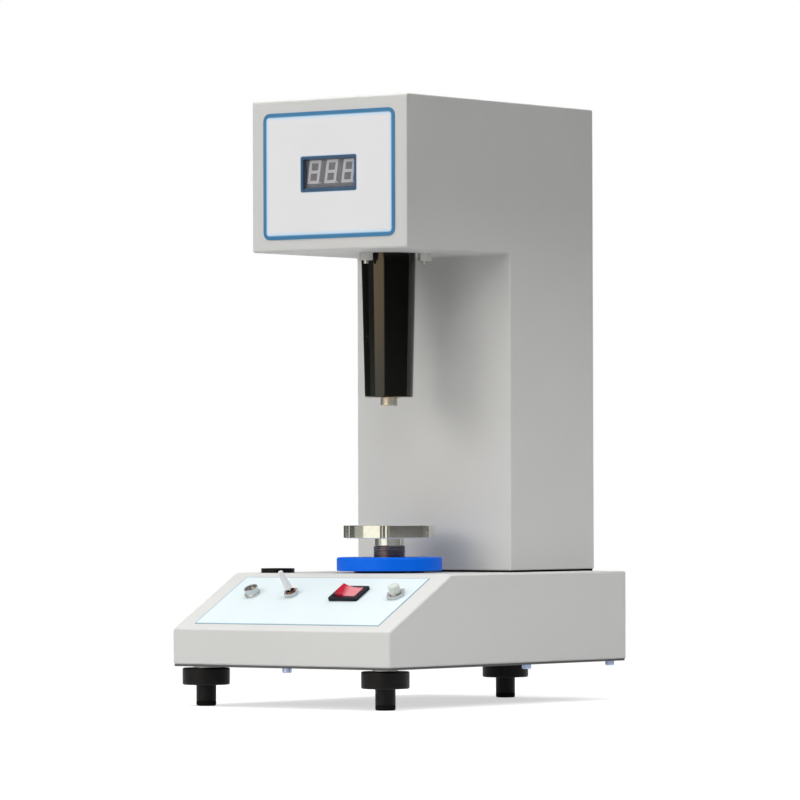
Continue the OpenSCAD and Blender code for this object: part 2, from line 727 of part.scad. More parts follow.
// The tapered sleeve, and the flange ring shrunk on its upper end inside the head
module sleeve() color([0.05, 0.05, 0.05]) {
    translate([0, axis_y, 0]) difference() {
        rotate_extrude() polygon([
            [sleeve_bore / 2, sleeve_end_z], [sleeve_low_d / 2 - 0.5, sleeve_end_z],
            [sleeve_low_d / 2, sleeve_end_z + 0.5], [sleeve_top_d / 2, head_z],
            [sleeve_top_d / 2, sleeve_top_z], [sleeve_bore / 2, sleeve_top_z]]);
        rotate([0, 0, set_screw_angle]) translate([sleeve_bore / 2 - 1, 0, sleeve_end_z + set_screw_up])
            rotate([0, 90, 0]) rod(m3_d + 2 * seat_gap, sleeve_top_d);
    }
    translate([0, axis_y, head_floor_z]) difference() {
        ring(sleeve_flange_d, sleeve_top_d + 2 * seat_gap, sleeve_flange_t);
        for (a = sleeve_bolt_angles)
            rotate([0, 0, a]) translate([sleeve_pcd / 2, 0, -eps])
                rod(m3_hole, sleeve_flange_t + 2 * eps);
        for (a = magnet_post_angles)
            rotate([0, 0, a]) translate([post_pcd / 2, 0, -eps])
                rod(m3_d + 2 * seat_gap, sleeve_flange_t + 2 * eps);
    }
}

bolt_down = 6.7;                         // sleeve bolt's end below the head

module sleeve_bolts() color("silver") {
    for (a = sleeve_bolt_angles)
        translate([0, axis_y, 0]) rotate([0, 0, a]) translate([sleeve_pcd / 2, 0, 0]) {
            translate([0, 0, head_z - bolt_down]) rod(m3_d, sleeve_top_z - head_z + bolt_down);
            translate([0, 0, sleeve_top_z]) rod(5.5, 2.2);
        }
}

sleeve_nut_flats = 7;
sleeve_nut_h = 4.7;

module sleeve_nuts() color([0.82, 0.83, 0.82]) {
    for (a = sleeve_bolt_angles)
        translate([0, axis_y, head_z - sleeve_nut_h]) rotate([0, 0, a]) translate([sleeve_pcd / 2, 0, 0])
            hex_nut(sleeve_nut_flats, m3_d + 2 * seat_gap, sleeve_nut_h);
}

module sleeve_set_screw() color("silver") {
    wall_r = sleeve_low_d / 2 + (sleeve_top_d - sleeve_low_d) / 2 * set_screw_up / sleeve_len;
    translate([0, axis_y, sleeve_end_z + set_screw_up]) rotate([0, 0, set_screw_angle])
        translate([sleeve_bore / 2, 0, 0]) rotate([0, 90, 0]) difference() {
            rod(m3_d, wall_r - sleeve_bore / 2);
            translate([0, 0, wall_r - sleeve_bore / 2 - 1]) hex(1.5, 1 + eps);
        }
}

module guide_bushes() color([0.72, 0.55, 0.28]) {
    for (z = [sleeve_end_z, sleeve_top_z - bush_len])
        translate([0, axis_y, z]) ring(sleeve_bore - 2 * seat_gap, rod_d + 2 * slip, bush_len);
}

// ---- Measuring rod and its release ----

link_t = 5;
link_clamp_d = 16;
link_arm_w = 8;
link_z = sleeve_top_z + rod_drop + 1.3;      // underside of the sensor link at rest
armature_z = link_z + link_t;
armature_t = 4;
armature_d = 18;
rod_in_armature = 2.5;                       // depth of the rod's end in the armature
pole_z = armature_z + armature_t;            // pole face that holds the armature
plate_gap = 4;                               // pole face below the magnet plate
magnet_plate_z = pole_z + plate_gap;
magnet_plate_t = 3;
magnet_plate_d = 60;
magnet_post_flats = 6;
pot_d = 30;
pot_h = 25;
pot_wall = 3;
coil_gap = 0.2;
pole_d = 12;
sensor_x = 23;                               // distance of the sensor from the rod
sensor_pin_d = 3;
sensor_d = 12;
sensor_h = rod_drop + 10;
spigot_d = 4;
spigot_h = 6;
holder_z = sleeve_end_z - 0.1 - holder_len;
rod_end_z = holder_z + holder_len;

module measuring_rod() color("silver") {
    translate([0, axis_y, 0]) difference() {
        translate([0, 0, rod_end_z]) rod(rod_d, armature_z + rod_in_armature - rod_end_z);
        translate([0, 0, rod_end_z - eps]) rod(spigot_d + 2 * seat_gap, spigot_h + 0.2 + eps);
    }
}

module cone_holder() color([0.80, 0.80, 0.79]) {
    translate([0, axis_y, holder_z]) difference() {
        union() {
            rotate_extrude() polygon([[0, 0], [holder_d / 2 - 0.3, 0], [holder_d / 2, 0.3],
                [holder_d / 2, holder_len], [0, holder_len]]);
            rod(spigot_d, holder_len + spigot_h);
        }
        translate([0, 0, -eps]) rod(cone_thread_d, holder_len - 0.8 + eps);
    }
}

module rod_armature() color([0.55, 0.56, 0.57]) {
    translate([0, axis_y, armature_z]) difference() {
        rod(armature_d, armature_t);
        translate([0, 0, -eps]) rod(rod_d + 2 * seat_gap, rod_in_armature + 0.1 + eps);
    }
}

// The arm clamped on the rod, with the sensor's sliding pin at its end
module sensor_link() color([0.70, 0.71, 0.72]) {
    translate([0, axis_y, link_z]) {
        difference() {
            union() {
                rod(link_clamp_d, link_t);
                translate([0, -link_arm_w / 2, 0]) cube([sensor_x, link_arm_w, link_t]);
                translate([sensor_x, 0, 0]) rod(link_arm_w, link_t);
            }
            translate([0, 0, -eps]) rod(rod_d + 2 * seat_gap, link_t + 2 * eps);
        }
        translate([sensor_x, 0, link_t - eps])
            rod(sensor_pin_d, magnet_plate_z + magnet_plate_t - link_z - link_t + rod_drop + 3);
    }
}

module displacement_sensor() color([0.30, 0.32, 0.36]) {
    translate([sensor_x, axis_y, magnet_plate_z + magnet_plate_t]) difference() {
        rod(sensor_d, sensor_h);
        translate([0, 0, -eps]) rod(sensor_pin_d + 0.2, sensor_h - 2);
    }
}

module magnet_plate() color([0.62, 0.63, 0.64]) {
    translate([0, axis_y, magnet_plate_z]) difference() {
        rod(magnet_plate_d, magnet_plate_t);
        translate([0, 0, -eps]) rod(pole_d + 2 * seat_gap, magnet_plate_t + 2 * eps);
        translate([sensor_x, 0, -eps]) rod(sensor_pin_d + 1, magnet_plate_t + 2 * eps);
        for (a = magnet_post_angles)
            rotate([0, 0, a]) translate([post_pcd / 2, 0, -eps]) rod(m3_hole, magnet_plate_t + 2 * eps);
    }
}

// Each standoff has a stud down into the sleeve's flange and one up through the plate to a nut
module magnet_standoffs() color("silver") {
    for (a = magnet_post_angles)
        translate([0, axis_y, 0]) rotate([0, 0, a]) translate([post_pcd / 2, 0, 0]) {
            translate([0, 0, sleeve_top_z]) hex(magnet_post_flats, magnet_plate_z - sleeve_top_z);
            translate([0, 0, head_floor_z]) rod(m3_d, sleeve_flange_t + eps);
            translate([0, 0, magnet_plate_z - eps]) rod(m3_d, magnet_plate_t + m3_nut_t + 1);
            translate([0, 0, magnet_plate_z + magnet_plate_t])
                hex_nut(m3_nut_flats, m3_d + 2 * seat_gap, m3_nut_t);
        }
}

module magnet_pot() color([0.45, 0.46, 0.48]) {
    translate([0, axis_y, magnet_plate_z + magnet_plate_t]) {
        difference() {
            rod(pot_d, pot_h);
            translate([0, 0, -eps]) rod(pot_d - 2 * pot_wall, pot_h - pot_wall + eps);
        }
        translate([0, 0, pole_z - magnet_plate_z - magnet_plate_t])
            rod(pole_d, pot_h + plate_gap + magnet_plate_t - eps);
    }
}

module magnet_coil() color([0.72, 0.38, 0.20]) {
    translate([0, axis_y, magnet_plate_z + magnet_plate_t])
        ring(pot_d - 2 * pot_wall - coil_gap, pole_d + coil_gap, pot_h - pot_wall - coil_gap);
}

// ---- Controls on the slope ----

module control_film() color([0.90, 0.95, 0.98]) {
    difference() {
        on_slope(0, (film_s0 + film_s1) / 2) translate([0, 0, film_t / 2])
            cube([film_w, film_s1 - film_s0, film_t], center = true);
        control_cuts(base_sheet * 2);
    }
}

rocker_hinge_z = -1.2;                   // hinge line of the paddle, from the panel's face
rocker_top = film_t + rocker_t;
paddle_d = rocker_body_d - 2.9;
paddle_half = rocker_w / 2 - 3.6;
cavity_half = rocker_w / 2 - 2.2;
trunnion_d = 2.4;
trunnion_len = 0.8;
cavity_h = 8;                            // hollow that the paddle rocks in
rocker_case_h = 13;
paddle_root = 2.6;                       // paddle below its hinge line
paddle_mid = 4.2;                        // paddle above its hinge line, in its middle
paddle_end = 5.4;                        // the same at its ends

module rocker_housing() color([0.09, 0.11, 0.17]) {
    on_slope(rocker_x, rocker_s) difference() {
        union() {
            translate([0, 0, film_t]) linear_extrude(rocker_t) rounded_rect(rocker_w, rocker_d, 0.8);
            translate([0, 0, film_t + eps - rocker_case_h / 2])
                cube([rocker_body_w, rocker_body_d, rocker_case_h], center = true);
        }
        translate([0, 0, rocker_top - cavity_h / 2])
            cube([2 * cavity_half, paddle_d + 0.5, cavity_h + 2 * eps], center = true);
        translate([0, 0, rocker_hinge_z]) rotate([90, 0, 0]) translate([0, 0, -paddle_d / 2 - 1])
            rod(trunnion_d + 2 * slip, paddle_d + 2);
    }
}

// The paddle is drawn level, from its hinge line, and tilted to its rest position
module rocker_paddle() color([0.86, 0.16, 0.25]) {
    on_slope(rocker_x, rocker_s) translate([0, 0, rocker_hinge_z]) rotate([0, rocker_tilt, 0]) {
        rotate([90, 0, 0]) translate([0, 0, -paddle_d / 2]) linear_extrude(paddle_d)
            polygon([[-paddle_half - 0.5, 0], [-paddle_half + 2.4, -paddle_root],
                [paddle_half - 2.4, -paddle_root], [paddle_half + 0.5, 0], [paddle_half, paddle_end],
                [paddle_half / 2, paddle_mid + (paddle_end - paddle_mid) / 3], [0, paddle_mid],
                [-paddle_half / 2, paddle_mid + (paddle_end - paddle_mid) / 3],
                [-paddle_half, paddle_end]]);
        rotate([90, 0, 0]) translate([0, 0, -paddle_d / 2 - trunnion_len])
            rod(trunnion_d, paddle_d + 2 * trunnion_len);
    }
}

toggle_bush_up = 3.4;                    // top of the toggle's bushing above the panel
toggle_hinge_z = 0.5;
toggle_bore = 4.4;
toggle_pin_d = 1.5;
toggle_pin_len = 5.2;
toggle_case = [8, 13, 9.5];
lever_d = 2.4;
lever_tail_d = 1.6;                      // lever below its hinge
lever_tail = 4.6;
grip_bore_h = 8;                         // depth of the lever inside its grip

module toggle_body() color([0.20, 0.30, 0.55]) {
    on_slope(toggle_x, round_s) difference() {
        union() {
            translate([0, 0, -base_sheet - toggle_case[2] / 2]) cube(toggle_case, center = true);
            translate([0, 0, -base_sheet - eps]) rod(toggle_bush_d, base_sheet + toggle_bush_up);
        }
        translate([0, 0, toggle_hinge_z - lever_tail - 1.4])
            rod(toggle_bore, lever_tail + 1.4 + toggle_bush_up);
        translate([0, 0, toggle_hinge_z]) rotate([90, 0, 0])
            translate([0, 0, -toggle_pin_len / 2 - 0.1])
            rod(toggle_pin_d + 2 * slip, toggle_pin_len + 0.2);
    }
}

module toggle_nut() color("silver") {
    on_slope(toggle_x, round_s) translate([0, 0, film_t])
        hex_nut(8, toggle_bush_d + 2 * seat_gap, 2.4);
}

// Places its children on the leaning lever, from its hinge
module on_lever() {
    on_slope(toggle_x, round_s) translate([0, 0, toggle_hinge_z]) rotate([0, -toggle_tilt, 0])
        children();
}

grip_foot = toggle_bush_up - toggle_hinge_z + 1.3;   // grip's foot, from the hinge

module toggle_lever() color("silver") {
    on_lever() {
        translate([0, 0, -lever_tail]) rod(lever_tail_d, lever_tail);
        rod(lever_d, grip_foot + grip_bore_h);
        translate([0, 0, grip_foot - 0.6]) rod(lever_d + 0.8, 0.6);
        rotate([90, 0, 0]) translate([0, 0, -toggle_pin_len / 2]) rod(toggle_pin_d, toggle_pin_len);
    }
}

module toggle_grip() color([0.93, 0.93, 0.92]) {
    on_lever() translate([0, 0, grip_foot]) difference() {
        rotate_extrude() polygon(concat([[0, 0], [grip_foot_d / 2, 0]],
            [for (i = [0:6]) [grip_tip_d / 2 - 1 + cos(i * 15), grip_len - 1 + sin(i * 15)]],
            [[0, grip_len]]));
        translate([0, 0, -eps]) rod(lever_d + 2 * seat_gap, grip_bore_h + 0.2);
    }
}

button_bush_up = 2.8;                    // top of the button's bushing above the panel
cap_root = 3.5;                          // cap inside its bushing at rest
cap_fit = 0.06;                          // radial clearance of the cap in its bushing
plunger_d = 3;
plunger_len = 3;
cap_edge_r = 0.8;
button_case_d = 11;
button_case_h = 11;

module button_body() color([0.62, 0.63, 0.64]) {
    on_slope(button_x, round_s) difference() {
        union() {
            translate([0, 0, -base_sheet - button_case_h]) rod(button_case_d, button_case_h);
            translate([0, 0, -base_sheet - eps]) rod(button_bush_d, base_sheet + button_bush_up + eps);
        }
        translate([0, 0, button_bush_up - cap_root - cap_travel - 0.4])
            rod(cap_d + 2 * cap_fit, cap_root + cap_travel + 1);
        translate([0, 0, 2 - base_sheet - button_case_h]) rod(plunger_d + 0.2, button_case_h + 1);
    }
}

button_nut_flats = 10.4;

module button_nut() color("silver") {
    on_slope(button_x, round_s) translate([0, 0, film_t])
        hex_nut(button_nut_flats, button_bush_d + 2 * seat_gap, 2);
}

module button_cap() color([0.86, 0.89, 0.86]) {
    on_slope(button_x, round_s) {
        translate([0, 0, button_bush_up]) rotate_extrude() polygon(concat(
            [[0, -cap_root], [cap_d / 2, -cap_root]],
            [for (i = [0:4]) [cap_d / 2, cap_up] + cap_edge_r * [cos(i * 22.5) - 1, sin(i * 22.5) - 1]],
            [[0, cap_up]]));
        translate([0, 0, button_bush_up - cap_root - plunger_len]) rod(plunger_d, plunger_len + eps);
    }
}

module signal_socket() color("silver") {
    collar_d = barrel_d + 1;
    case_h = 12;
    floor_t = 3;
    rim_depth = 1.6;
    on_slope(socket_x, round_s) difference() {
        union() {
            translate([0, 0, -base_sheet - case_h]) rod(barrel_d + 2, case_h);
            translate([0, 0, -base_sheet - eps]) rod(barrel_d, base_sheet + film_t + barrel_up + eps);
            translate([0, 0, film_t]) rod(collar_d, 1.2);
        }
        translate([0, 0, floor_t - base_sheet - case_h])
            rod(socket_bore, case_h - floor_t + base_sheet + film_t + barrel_up);
        translate([0, 0, film_t + barrel_up - rim_depth]) rod(barrel_d - 2, rim_depth + eps);
    }
}

// ---- Bubble level ----

level_x = -base_w / 2 + level_in;
level_y = slope_y + level_back;
level_wall = 2.6;
level_floor = 0.8;

module level_body() color([0.08, 0.08, 0.08]) {
    translate([level_x, level_y, base_top]) difference() {
        rod(level_d, level_t);
        translate([0, 0, level_floor]) rod(level_d - 2 * level_wall, level_t);
    }
}

module level_vial() color([0.75, 0.85, 0.45, 0.5]) {
    translate([level_x, level_y, base_top + level_floor])
        rod(level_d - 2 * level_wall - 2 * seat_gap, level_t - level_floor - 0.2);
}

// ---- Sample lift ----

wheel_z = base_top + thrust_t;
wheel_top = wheel_z + wheel_t;
bearing_t = 4;
hub_end_z = roof_z - bearing_t - 2.8;
snap_t = 1.2;
snap_z = roof_z - bearing_t - 0.6 - snap_t;
snap_d = wheel_hub_d + 5;
snap_depth = 1;                          // depth of the ring's groove in the hub
snap_play = 0.05;
snap_opening = 4;
skirt_bore = snap_d + 2.6;
skirt_d = skirt_bore + 6;
guide_plug_h = 3;                        // part of the guide inside the skirt
guide_t = 8;                             // part of the guide below the skirt
skirt_end_z = hub_end_z - guide_plug_h - 0.5;
screw_bore = screw_d + 2 * slip;
screw_end_z = floor_z + lift_down + screw_floor_gap;
screw_top_z = wheel_top + screw_up;
csk_d = 6;                               // countersunk heads in the base's top sheet
csk_t = 1.2;
slot_w = 3.2;                            // groove that keeps the screw from turning
slot_depth = 1.6;
key_gap = 0.15;
stem_d = 8;                              // stage's stem, inside the screw
stem_h = 10;

module lift_wheel() color([0.02, 0.36, 0.90]) {
    chamfer = 0.8;
    translate([0, axis_y, 0]) rotate_extrude() polygon([
        [screw_bore / 2, hub_end_z], [wheel_hub_d / 2, hub_end_z],
        [wheel_hub_d / 2, snap_z - snap_play], [wheel_hub_d / 2 - snap_depth, snap_z - snap_play],
        [wheel_hub_d / 2 - snap_depth, snap_z + snap_t + snap_play],
        [wheel_hub_d / 2, snap_z + snap_t + snap_play],
        [wheel_hub_d / 2, wheel_z], [wheel_d / 2 - chamfer * 0.5, wheel_z],
        [wheel_d / 2, wheel_z + chamfer * 0.5], [wheel_d / 2, wheel_top - chamfer],
        [wheel_d / 2 - chamfer, wheel_top], [screw_bore / 2, wheel_top]]);
}

module lift_screw() color([0.10, 0.10, 0.11]) {
    translate([0, axis_y, 0]) difference() {
        translate([0, 0, screw_end_z]) rod(screw_d, screw_top_z - screw_end_z);
        translate([0, 0, screw_top_z - stem_h - 0.2]) rod(stem_d + 2 * seat_gap, stem_h + 0.2 + eps);
        translate([-slot_w / 2, screw_d / 2 - slot_depth, screw_end_z - eps])
            cube([slot_w, screw_d, screw_top_z - screw_end_z + 2 * eps]);
    }
}

module sample_stage() color([0.80, 0.79, 0.76]) {
    translate([0, axis_y, screw_top_z]) {
        translate([0, 0, neck_h]) difference() {
            rod(stage_d, stage_t);
            for (i = [0:stage_lobes - 1])
                rotate([0, 0, stage_turn + (i + 0.5) * 360 / stage_lobes])
                    translate([stage_d / 2 - flute_depth + flute_r, 0, -eps])
                        rod(2 * flute_r, stage_t + 2 * eps);
        }
        rod(neck_d, neck_h + eps);
        translate([0, 0, -stem_h]) rod(stem_d, stem_h + eps);
    }
}

module thrust_washer() color([0.90, 0.90, 0.88]) {
    translate([0, axis_y, base_top]) ring(housing_screw_pcd - csk_d - 2, wheel_hub_d + 1, thrust_t);
}

module lift_housing() color([0.60, 0.61, 0.62]) {
    translate([0, axis_y, 0]) difference() {
        union() {
            translate([0, 0, roof_z - bearing_t]) linear_extrude(bearing_t)
                rounded_rect(housing_side, housing_side, housing_edge);
            translate([0, 0, skirt_end_z]) rod(skirt_d, roof_z - bearing_t - skirt_end_z + eps);
        }
        translate([0, 0, skirt_end_z - eps]) rod(bearing_d, roof_z - skirt_end_z + 2 * eps);
        translate([0, 0, skirt_end_z - eps]) rod(skirt_bore, roof_z - bearing_t - skirt_end_z + eps);
        for (a = [45:90:315])
            rotate([0, 0, a]) translate([housing_screw_pcd / 2, 0, roof_z - bearing_t - eps])
                rod(m3_d + 2 * seat_gap, bearing_t + 2 * eps);
    }
}

// Open snap ring in the hub's groove, under the bearing
module retaining_ring() color([0.35, 0.35, 0.36]) {
    translate([0, axis_y, snap_z]) difference() {
        ring(snap_d, wheel_hub_d - 2 * snap_depth + 2 * snap_play, snap_t);
        translate([0, -snap_opening / 2, -eps]) cube([snap_d, snap_opening, snap_t + 2 * eps]);
    }
}

// Plug under the housing that guides the screw, with the key that keeps it from turning
module screw_guide() color([0.72, 0.55, 0.28]) {
    translate([0, axis_y, skirt_end_z - guide_t]) difference() {
        union() {
            rod(skirt_d, guide_t);
            translate([0, 0, guide_t - eps]) rod(skirt_bore - 2 * seat_gap, guide_plug_h + eps);
        }
        difference() {
            translate([0, 0, -eps]) rod(screw_bore, guide_t + guide_plug_h + 2 * eps);
            translate([key_gap - slot_w / 2, screw_d / 2 - slot_depth + key_gap, -2 * eps])
                cube([slot_w - 2 * key_gap, screw_d, guide_t + guide_plug_h + 4 * eps]);
        }
    }
}

module housing_screws() color("silver") {
    for (a = [45:90:315])
        translate([0, axis_y, base_top]) rotate([0, 0, a]) translate([housing_screw_pcd / 2, 0, 0])
            rotate_extrude() polygon([[0, -base_sheet - bearing_t], [m3_d / 2, -base_sheet - bearing_t],
                [m3_d / 2, -csk_t - 0.05], [csk_d / 2, -0.05], [0, -0.05]]);
}

// ---- Electronics in the base ----

board_w = 62;
board_d = 84;
board_up = 8;                            // main board above the bottom plate
board_x0 = -base_w / 2 + flange_w + 2;
board_y0 = rear_fold_y - board_d - 2;
post_in = 5;                             // posts from the board's edges
board_posts = [for (x = [post_in, board_w - post_in], y = [post_in, board_d - post_in])
    [board_x0 + x, board_y0 + y]];
board_z = floor_z + board_up;
cans = [[16, 22], [16, 38]];             // capacitors: X and Y on the board
can_d = 11;
can_h = 17;
blocks = [[26, 12, 20, 15, 15], [30, 40, 14, 20, 4], [12, 66, 38, 9, 9]];   // X, Y and size

module main_board() color([0.13, 0.42, 0.25]) {
    difference() {
        translate([board_x0, board_y0, board_z]) cube([board_w, board_d, pcb_t]);
        for (p = board_posts)
            translate([p[0], p[1], board_z - eps]) rod(m3_hole, pcb_t + 2 * eps);
    }
    translate([board_x0, board_y0, board_z + pcb_t - eps]) {
        for (c = cans) translate([c[0], c[1], 0]) rod(can_d, can_h);
        for (b = blocks) translate([b[0], b[1], 0]) cube([b[2], b[3], b[4]]);
    }
}

core_w = 30;
core_d = 48;
core_h = 40;
core_arm = 8;                            // width of the core's windows, and of its yokes
strap_w = 18;
strap_t = 2;
strap_lug = 8;                           // strap beyond the core at each end
transformer_back = 40;                   // core's centre from the rear panel's flange
transformer_x = base_w / 2 - base_sheet - core_w;
transformer_y = rear_fold_y - transformer_back;
transformer_bolt_y = [for (end = [-1, 1]) transformer_y + end * (core_d + strap_lug) / 2];

module transformer_core() color([0.35, 0.36, 0.38]) {
    translate([transformer_x, transformer_y, floor_z]) {
        difference() {
            translate([0, 0, core_h / 2]) cube([core_w, core_d, core_h], center = true);
            for (y = [-1, 1])
                translate([0, y * core_d / 4, core_h / 2])
                    cube([core_w + 1, core_arm, core_h - 2 * core_arm], center = true);
        }
        difference() {
            translate([0, 0, strap_t / 2]) cube([strap_w, core_d + 2 * strap_lug, strap_t], center = true);
            for (y = transformer_bolt_y)
                translate([0, y - transformer_y, -eps]) rod(m3_d + 2 * seat_gap, strap_t + 2 * eps);
        }
    }
    for (y = transformer_bolt_y)
        translate([transformer_x, y, floor_z + strap_t]) {
            rod(m3_head_d, m3_head_t);
            translate([0, 0, -strap_t - plate_t]) rod(m3_d, strap_t + plate_t + eps);
        }
}

// The winding passes through both windows of the core and closes outside it
module transformer_coil() color([0.85, 0.72, 0.30]) {
    gap = 0.2;
    side_t = 6;
    coil_h = core_h - 2 * core_arm - 2 * gap;
    leg_t = core_arm - 2 * gap;
    for (y = [-1, 1])
        translate([transformer_x, transformer_y + y * core_d / 4, floor_z + core_h / 2])
            cube([core_w + 2 * gap + 2 * eps, leg_t, coil_h], center = true);
    for (side = [-1, 1])
        translate([transformer_x + side * (core_w / 2 + gap + side_t / 2), transformer_y,
            floor_z + core_h / 2])
            cube([side_t, core_d / 2 + leg_t, coil_h], center = true);
}

inlet_side = 36;                         // centre of the mains inlet inside the base's side
inlet_x = base_w / 2 - inlet_side;
inlet_z = (floor_z + base_sheet + roof_z) / 2;
inlet_body_w = 27;
inlet_body_h = 19.6;
inlet_flange_w = 49;
inlet_flange_h = 22.5;
inlet_flange_t = 2.2;
inlet_screw_pitch = 40;
inlet_depth = 15;
inlet_recess = [24.4, 16.4];
recess_floor = 2.2;                      // plastic behind the recess
blade = [2, 4, 11];                      // contact pins
blade_pitch = 7;
blade_root = 1.5;                        // part of a pin inside the plastic

// Three-pin mains inlet with its recess open to the rear
module power_inlet() color([0.10, 0.10, 0.11]) {
    translate([inlet_x, panel_y + base_sheet, inlet_z]) rotate([-90, 0, 0]) {
        difference() {
            union() {
                linear_extrude(inlet_flange_t) rounded_rect(inlet_flange_w, inlet_flange_h, 3);
                translate([0, 0, -inlet_depth / 2])
                    cube([inlet_body_w, inlet_body_h, inlet_depth + 2 * eps], center = true);
            }
            translate([0, 0, recess_floor - inlet_depth + (inlet_depth + inlet_flange_t) / 2])
                cube([inlet_recess[0], inlet_recess[1], inlet_depth + inlet_flange_t], center = true);
            for (x = [-1, 1])
                translate([x * inlet_screw_pitch / 2, 0, 0]) {
                    translate([0, 0, -eps]) rod(m3_hole, inlet_flange_t + 2 * eps);
                    translate([0, 0, inlet_flange_t - m3_head_t]) rod(m3_head_d + 0.6, m3_head_t + eps);
                }
        }
        for (i = [-1, 0, 1])
            translate([i * blade_pitch, i == 0 ? 2 : -2,
                recess_floor - inlet_depth - blade_root + blade[2] / 2]) cube(blade, center = true);
    }
}

base_cover();
base_rear_panel();
bottom_plate();
bottom_screws();
foot_inserts();
front_left_foot();
front_right_foot();
rear_foot();
front_left_tip();
front_right_tip();
rear_tip();
column_gasket();
column_housing();
column_bolts();
rear_cover();
rear_screws();
display_film();
display_window();
led_display();
display_board();
board_standoffs();
sleeve();
sleeve_bolts();
sleeve_nuts();
sleeve_set_screw();
guide_bushes();
measuring_rod();
cone_holder();
rod_armature();
sensor_link();
displacement_sensor();
magnet_plate();
magnet_standoffs();
magnet_pot();
magnet_coil();
control_film();
rocker_housing();
rocker_paddle();
toggle_body();
toggle_nut();
toggle_lever();
toggle_grip();
button_body();
button_nut();
button_cap();
signal_socket();
level_body();
level_vial();
lift_wheel();
lift_screw();
sample_stage();
thrust_washer();
lift_housing();
retaining_ring();
screw_guide();
housing_screws();
main_board();
transformer_core();
transformer_coil();
power_inlet();
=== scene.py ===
import json
import math
import bmesh
import bpy
from mathutils import Matrix, Vector


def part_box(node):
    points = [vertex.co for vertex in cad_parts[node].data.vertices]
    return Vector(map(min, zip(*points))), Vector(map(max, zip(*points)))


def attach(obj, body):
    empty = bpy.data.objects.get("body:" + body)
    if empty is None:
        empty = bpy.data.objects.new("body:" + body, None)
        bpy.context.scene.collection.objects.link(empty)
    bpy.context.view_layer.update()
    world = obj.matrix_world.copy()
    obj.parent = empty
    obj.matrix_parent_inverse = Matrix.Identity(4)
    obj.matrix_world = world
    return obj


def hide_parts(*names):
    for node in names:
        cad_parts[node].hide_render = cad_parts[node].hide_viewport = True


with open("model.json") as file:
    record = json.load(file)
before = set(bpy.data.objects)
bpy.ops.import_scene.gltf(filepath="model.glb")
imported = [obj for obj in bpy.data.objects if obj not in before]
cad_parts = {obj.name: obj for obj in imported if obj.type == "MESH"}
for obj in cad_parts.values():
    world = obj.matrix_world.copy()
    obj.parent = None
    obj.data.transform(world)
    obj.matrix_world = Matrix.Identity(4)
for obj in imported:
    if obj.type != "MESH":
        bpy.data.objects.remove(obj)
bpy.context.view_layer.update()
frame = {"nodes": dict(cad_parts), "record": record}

# ---- Camera ----
# A long lens a little above the bench, in front of the device and to its right, looking
# slightly upwards, so that the upright edges stay nearly parallel.

camera_place = Vector((2.0087, -2.6139, 0.1218))
camera_azimuth = math.radians(37.56)
camera_elevation = math.radians(-1.03)
camera_roll = math.radians(-0.17)
backwards = Vector((math.sin(camera_azimuth) * math.cos(camera_elevation),
                    -math.cos(camera_azimuth) * math.cos(camera_elevation),
                    math.sin(camera_elevation)))
level_right = (-backwards).cross(Vector((0, 0, 1))).normalized()
camera_turn = Matrix((level_right, level_right.cross(-backwards), backwards)).transposed()
camera = bpy.data.objects.new("camera", bpy.data.cameras.new("camera"))
camera.data.sensor_width = 36
camera.data.lens = 247.7
camera.data.clip_end = 50
camera.matrix_world = (Matrix.Translation(camera_place)
                       @ camera_turn.to_4x4() @ Matrix.Rotation(camera_roll, 4, "Z"))
bpy.context.scene.collection.objects.link(camera)
bpy.context.scene.camera = camera


# ---- Sheet-metal housings ----
# The base cover, its rear panel, the column with its head and the rear cover are folded from
# steel sheet. One light grey powder coat, satin with a fine orange peel, rounds every fold.
# The bottom plate is flat sheet in a darker grey.

MM = 0.001


class Flow:
    """A socket in a tree of shader nodes. Arithmetic on it adds Math nodes."""

    def __init__(self, nodes, socket):
        self.nodes = nodes
        self.socket = socket

    def math(self, operation, *values):
        return self.nodes.node("Math", {"operation": operation}, [self, *values])

    def __add__(self, other):
        return self.math("ADD", other)

    def __radd__(self, other):
        return self.math("ADD", other)

    def __sub__(self, other):
        return self.math("SUBTRACT", other)

    def __rsub__(self, other):
        return self.nodes.node("Math", {"operation": "SUBTRACT"}, [other, self])

    def __mul__(self, other):
        return self.math("MULTIPLY", other)

    def __rmul__(self, other):
        return self.math("MULTIPLY", other)

    def __truediv__(self, other):
        return self.math("DIVIDE", other)

    def __abs__(self):
        return self.math("ABSOLUTE")

    def least(self, other):
        return self.math("MINIMUM", other)

    def most(self, other):
        return self.math("MAXIMUM", other)

    def step(self, low, high):
        """0 below low and 1 above high, with a straight ramp between."""
        return self.nodes.node("MapRange", {"clamp": True}, [self, low, high, 0.0, 1.0])


class Nodes:
    """The shader nodes of one material or of the world."""

    def __init__(self, tree):
        self.tree = tree

    def node(self, kind, settings=None, values=(), output=0):
        """Adds one shader node from its type, its settings and its sockets' values or links."""
        made = self.tree.nodes.new("ShaderNode" + kind)
        for key, value in (settings or {}).items():
            setattr(made, key, value)
        pairs = values.items() if isinstance(values, dict) else enumerate(values)
        for key, value in pairs:
            self.feed(made.inputs[key], value)
        return Flow(self, made.outputs[output])

    def feed(self, socket, value):
        if isinstance(value, Flow):
            self.tree.links.new(value.socket, socket)
        else:
            socket.default_value = value


def tone(red, green, blue):
    """A colour from its three display values, 0 to 255, as the shader's linear RGBA."""
    parts = [v / 255 for v in (red, green, blue)]
    return tuple(v / 12.92 if v <= 0.04045 else ((v + 0.055) / 1.055) ** 2.4
                 for v in parts) + (1.0,)


